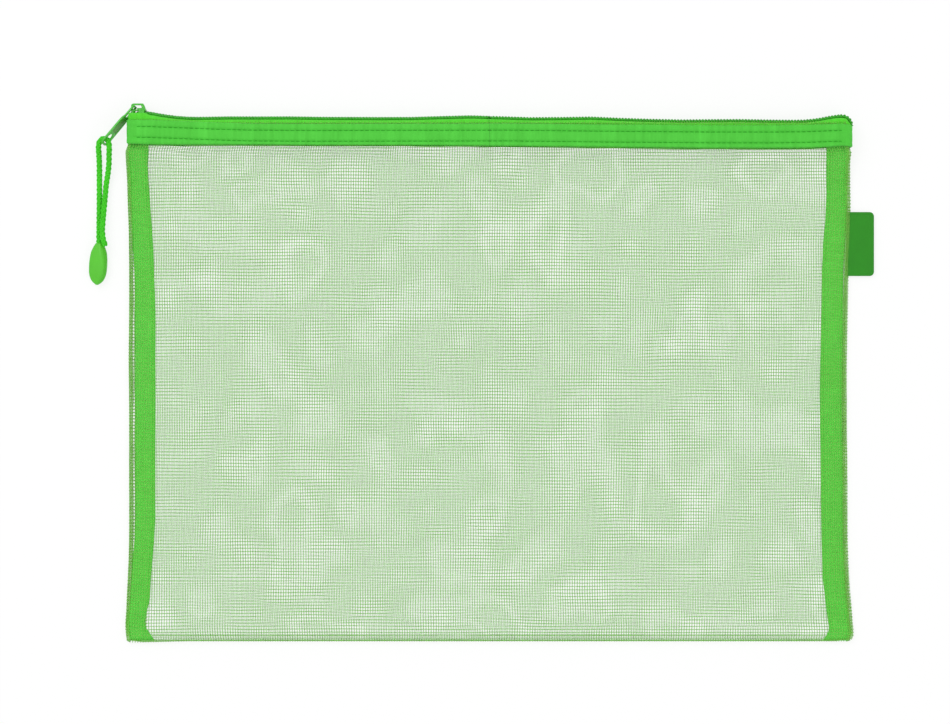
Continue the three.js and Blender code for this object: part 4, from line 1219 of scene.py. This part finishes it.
class POUCH_OT_bands(bpy.types.Operator):
    """Covering bands with a rolled foot and two rows of stitches"""

    bl_idname = "pouch.bands"
    bl_label = "Bands"

    def execute(self, context):
        colours, trim = context.scene.pouch_colours, context.scene.pouch_trim
        surface = woven("covering band", colours.band)
        # The sewing thread's darker colour also paints the shade of the stitch grooves along the band
        thread = yarn("band sewing thread", colours.stitch, twist=0.3)
        tree, stitch = stitch_tree(), one_stitch(context)
        for side, tag, way in STRIPS:
            front = side == "front"
            low, high = strip_range(way, -SIDE - 3.0, SIDE + 3.0)
            mesh = self.strip(low, high, front, trim, surface)
            strip_piece(side, "band_strip", tag, mesh, [f"{side}_band"])
            rows = [self.row(at, low, high, front, trim) for at in STITCH_ROWS]
            meshes = [stitched("row", tree, stitch, row, thread) for row in rows]
            mesh = joined(f"{side}_band_stitches{tag}", meshes)
            if not front:  # mirrored below the band's outer face
                level = 2 * (BAND_BACK_Z - self.height(STITCH_ROWS[0], trim))
                mesh = moved(mesh, lambda places: places * (1, 1, -1) + (0, 0, level))
            strip_piece(side, "band_stitches", tag, mesh)
        bpy.data.objects.remove(stitch)
        return {"FINISHED"}

    @staticmethod
    def height(at, trim):
        return float(band_height(np.array(at), trim.puff / MM))

    @staticmethod
    def strip(low, high, front, trim, surface):
        across = np.concatenate(
            [
                BAND_TOP - np.array([0, 0.1, 0.35]),
                np.linspace(BAND_TOP - 0.8, BAND_BOTTOM + 0.9, 26),
                BAND_BOTTOM + np.array([0.45, 0.15, 0]),
            ]
        )
        ends = [np.sign(far) * np.linspace(SIDE - 4, abs(far), 14) for far in (low, high) if abs(far) > SIDE]
        rings = []
        for x in strip_stations(low, high, 0.6, np.concatenate(ends)):
            calm = float(smooth_step((SIDE - 2 - abs(x)) / 5))
            pucker = 1 + 0.08 * calm * math.cos(math.tau * x / (trim.stitch_pitch / MM))
            thick = band_height(across, trim.puff / MM, 0.15 + 0.85 * calm) * pucker
            flat = np.zeros_like(across)
            if front:
                lower, upper = BAND_FRONT_Z + flat, BAND_FRONT_Z + thick
            else:
                lower, upper = BAND_BACK_Z - np.minimum(thick, BAND_BACK_Z), BAND_BACK_Z + flat
            y = across + band_rise(x, across)
            x = x - 0.13 * smooth_step((-150 - x) / 12) * (BAND_TOP - across)
            rings.append([*zip(x, y, upper), *zip(x[-2:0:-1], y[-2:0:-1], lower[-2:0:-1])])
        points, faces = swept(rings)
        return mesh_of("band_strip", closed_end(points, 9.3 if front else 0.3, front), faces, surface)

    @classmethod
    def row(cls, at, low, high, front, trim):
        thick = cls.height(at, trim)
        z = BAND_FRONT_Z + thick if front else BAND_BACK_Z - thick
        limit = SIDE - 3.2
        xs = np.linspace(max(low, -limit), min(high, limit), 90)
        return [(x, at + float(band_rise(x, at)), z) for x in xs]


class POUCH_OT_tapes(bpy.types.Operator):
    """Zipper tapes: a leg under the band and one that turns over the top edge to the coil"""

    bl_idname = "pouch.tapes"
    bl_label = "Zipper tapes"

    def execute(self, context):
        colour = context.scene.pouch_colours.tape
        surface = woven("zipper tape", colour, rib=0.7, fill=0.35, relief=0.05, contrast=0.14)
        for side, tag, way in STRIPS:
            mesh = self.strip(way, side == "front", surface)
            strip_piece(side, "tape_strip", tag, mesh, [f"{side}_tape"])
        return {"FINISHED"}

    @staticmethod
    def strip(way, front, surface):
        thick, bend, low_z = 0.5, 1.9, 1.3
        corner = (TAPE_FACE_Y - bend, low_z + bend)
        slit = CHAIN_Z - 1.1
        outer = [(107.0, low_z), (112, low_z), *arc(*corner, bend, -90, 0, 8), (TAPE_FACE_Y, slit)]
        inner = [
            (107.0, low_z + thick), (112, low_z + thick), *arc(*corner, bend - thick, -90, 0, 8),
            (TAPE_FACE_Y - thick, slit),
        ]
        section = np.array(outer + inner[::-1])
        low, high = strip_range(way, -SIDE + 1, SIDE - 1)
        near_slider = np.linspace(-SIDE + 1, -150, 12) if low < 0 else []
        rings = []
        for x in strip_stations(low, high, 2.0, near_slider):
            y, z = section.T
            swell = smooth_step((-154 - x) / 3) * smooth_step((y - 113.5) / 4) * smooth_step((2.9 - z) / 1.0)
            y = y + top_rise(x) * smooth_step((y - 106) / 10) + 1.2 * swell
            z = z - 0.3 * swell
            if x > 158:  # the far corner is rounded
                y = np.minimum(y, 115.2 + math.sqrt(max(0.0, 3.7**2 - max(0.0, x - CORNER_X) ** 2)))
            rings.append(np.stack([np.full_like(y, x), y, 2 * CHAIN_Z - z if front else z], -1))
        return mesh_of("tape_strip", *swept(rings), surface)


class POUCH_OT_coils(bpy.types.Operator):
    """The two coils, turn by turn, with teeth that lie between each other"""

    bl_idname = "pouch.coils"
    bl_label = "Zipper coils"

    def execute(self, context):
        zipper = context.scene.pouch_zipper
        surface = filament("coil monofilament", context.scene.pouch_colours.coil)
        tree = coil_tree()
        pitch, radius = zipper.coil_pitch / MM, zipper.wire / MM / 2
        for side, tag, way in STRIPS:
            sign, shift = (1, pitch / 2) if side == "front" else (-1, 0)
            start, end = strip_range(way, COIL_START, COIL_END)
            start += shift
            sizes = {
                "Pitch": pitch, "Start": start, "Middle Y": COIL_Y, "Middle Z": CHAIN_Z + sign * 0.825,
                "Half Height": 0.75 - radius, "Half Depth": sign * (1.275 - radius), "Radius": radius,
            }
            values = {key: value * MM for key, value in sizes.items()}
            values.update({"Turns": (end - start) / pitch, "Material": surface})
            turns = grown("coil", tree, polyline("coil_seed", [(0, 0, 0), (1, 0, 0)]), values)
            mesh = moved(joined("coil", [turns, self.core(start, end, sign, surface)]), self.follow)
            strip_piece(side, "coil_turns", tag, mesh, [f"{side}_coil"])
        return {"FINISHED"}

    @staticmethod
    def core(start, end, sign, surface):
        """The filler cord that runs through the turns."""
        angles = np.arange(8) * math.tau / 8
        rings = [
            [(x, 118.95 + 0.6 * math.sin(a), CHAIN_Z + sign * 1.0 + 0.8 * math.cos(a)) for a in angles]
            for x in np.arange(start, end, 1.2)
        ]
        return mesh_of("coil_core", *swept(rings), surface)

    @staticmethod
    def follow(places):
        """Lays a straight coil along the top edge and round the far corner."""
        x, y, z = places.T
        y = y + top_rise(np.minimum(x, CORNER_X))
        angle = np.clip((x - CORNER_X) / CORNER_RADIUS, 0, 1.6)
        reach = CORNER_RADIUS + (y - CORNER_Y)
        new_x = np.where(x > CORNER_X, CORNER_X + reach * np.sin(angle), x)
        new_y = np.where(x > CORNER_X, CORNER_Y - CORNER_RADIUS + reach * np.cos(angle), y)
        return np.stack([new_x, new_y, z], -1)


class POUCH_OT_slider(bpy.types.Operator):
    """Painted slider, and its pull tab with a sunk panel"""

    bl_idname = "pouch.slider"
    bl_label = "Slider and pull tab"

    def execute(self, context):
        colours = context.scene.pouch_colours
        enamel = painted("slider paint", colours.slider, 0.1)
        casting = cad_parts["slider_body"].data
        casting.materials.clear()
        casting.materials.append(enamel)
        mesh = self.tab(enamel, painted("pull tab panel paint", colours.pull, 0.0))
        finished("pull_tab_plate", mesh, "pull", ["pull_tab"])
        return {"FINISHED"}

    @staticmethod
    def tab(enamel, panel_paint):
        """A plate with a window for the bridge, a sunk panel and a slot for the cord, hung on the bridge."""
        edge = [(-0.4, 1.55), (-0.2, 1.8), (1.5, 1.9), (5.4, 1.95), (7.2, 2.85), (9, 3.1), (12, 3.15)]
        edge += arc(19.9, 0.55, 2.6, 90, 0, 9)
        outline = edge + [(x, -y) for x, y in edge[::-1]]
        window = rounded_box(0.42, 6.2, 0.98, (0.25, 0.25))
        panel = rounded_box(7.3, 15.0, 2.25, (0.6, 0.6))
        slot = rounded_box(16.3, 21.3, 1.8, (1.7, 0.5))
        body = cut_plate("tab_body", [outline, window, panel, slot], 0.42, 0.16, enamel)
        web = cut_plate("tab_panel", [rounded_box(7.1, 15.2, 2.45, (0.7, 0.7))], 0.24, 0.02, panel_paint)
        axes = pull_axes()
        return moved(joined("pull_tab_plate", [body, web]), lambda places: HINGE + places @ axes)


class POUCH_OT_label(bpy.types.Operator):
    """Bare rubber label with a raised rim, sewn into the side seam"""

    bl_idname = "pouch.label"
    bl_label = "Side label"

    def execute(self, context):
        surface = moulded("label rubber", context.scene.pouch_colours.label, 0.04, 0.6)
        # how far each layer's outline is drawn in, and its height
        layers = [
            (0.25, 0.0), (0.06, 0.1), (0.0, 0.25), (0.0, 0.5), (0.1, 0.68), (0.28, 0.78), (0.6, 0.8),
            (0.95, 0.78), (1.1, 0.66), (1.3, 0.6), (2.5, 0.6), (4.0, 0.6),
        ]
        rings = []
        for inset, z in layers:
            radii = [max(0.2, radius - inset) for radius in (0.4, 2.0)]
            outline = rounded_box(inset, LABEL_LENGTH - inset, LABEL_HALF - inset, radii, 8)
            rings.append([np.add(LABEL_AT, (x, y, z)) for x, y in outline])
        finished("side_label", mesh_of("label", *swept(rings), surface), "pouch", ["label_tag"])
        return {"FINISHED"}


class POUCH_PT_panel(bpy.types.Panel):
    """Lists the pouch's pieces and their settings"""

    bl_label = "Zipper Pouch"
    bl_idname = "POUCH_PT_panel"
    bl_space_type = "VIEW_3D"
    bl_region_type = "UI"
    bl_category = "Zipper Pouch"

    def draw(self, context):
        for maker in MAKERS:
            self.layout.operator(maker.bl_idname)
        for name, group in SETTINGS.items():
            box = self.layout.box()
            box.label(text=group.__doc__)
            for key in group.__annotations__:
                box.prop(getattr(context.scene, name), key)


MAKERS = (
    POUCH_OT_stage,
    POUCH_OT_pull_cord,
    POUCH_OT_net_panels,
    POUCH_OT_bindings,
    POUCH_OT_bands,
    POUCH_OT_tapes,
    POUCH_OT_coils,
    POUCH_OT_slider,
    POUCH_OT_label,
)


def register():
    for made in (*SETTINGS.values(), *MAKERS, POUCH_PT_panel):
        bpy.utils.register_class(made)
    for name, group in SETTINGS.items():
        setattr(bpy.types.Scene, name, PointerProperty(type=group))


def unregister():
    for name in SETTINGS:
        delattr(bpy.types.Scene, name)
    for made in reversed((*SETTINGS.values(), *MAKERS, POUCH_PT_panel)):
        bpy.utils.unregister_class(made)


def main():
    register()
    for maker in MAKERS:
        getattr(bpy.ops.pouch, maker.bl_idname.split(".")[1])()


if __name__ == "__main__":
    main()
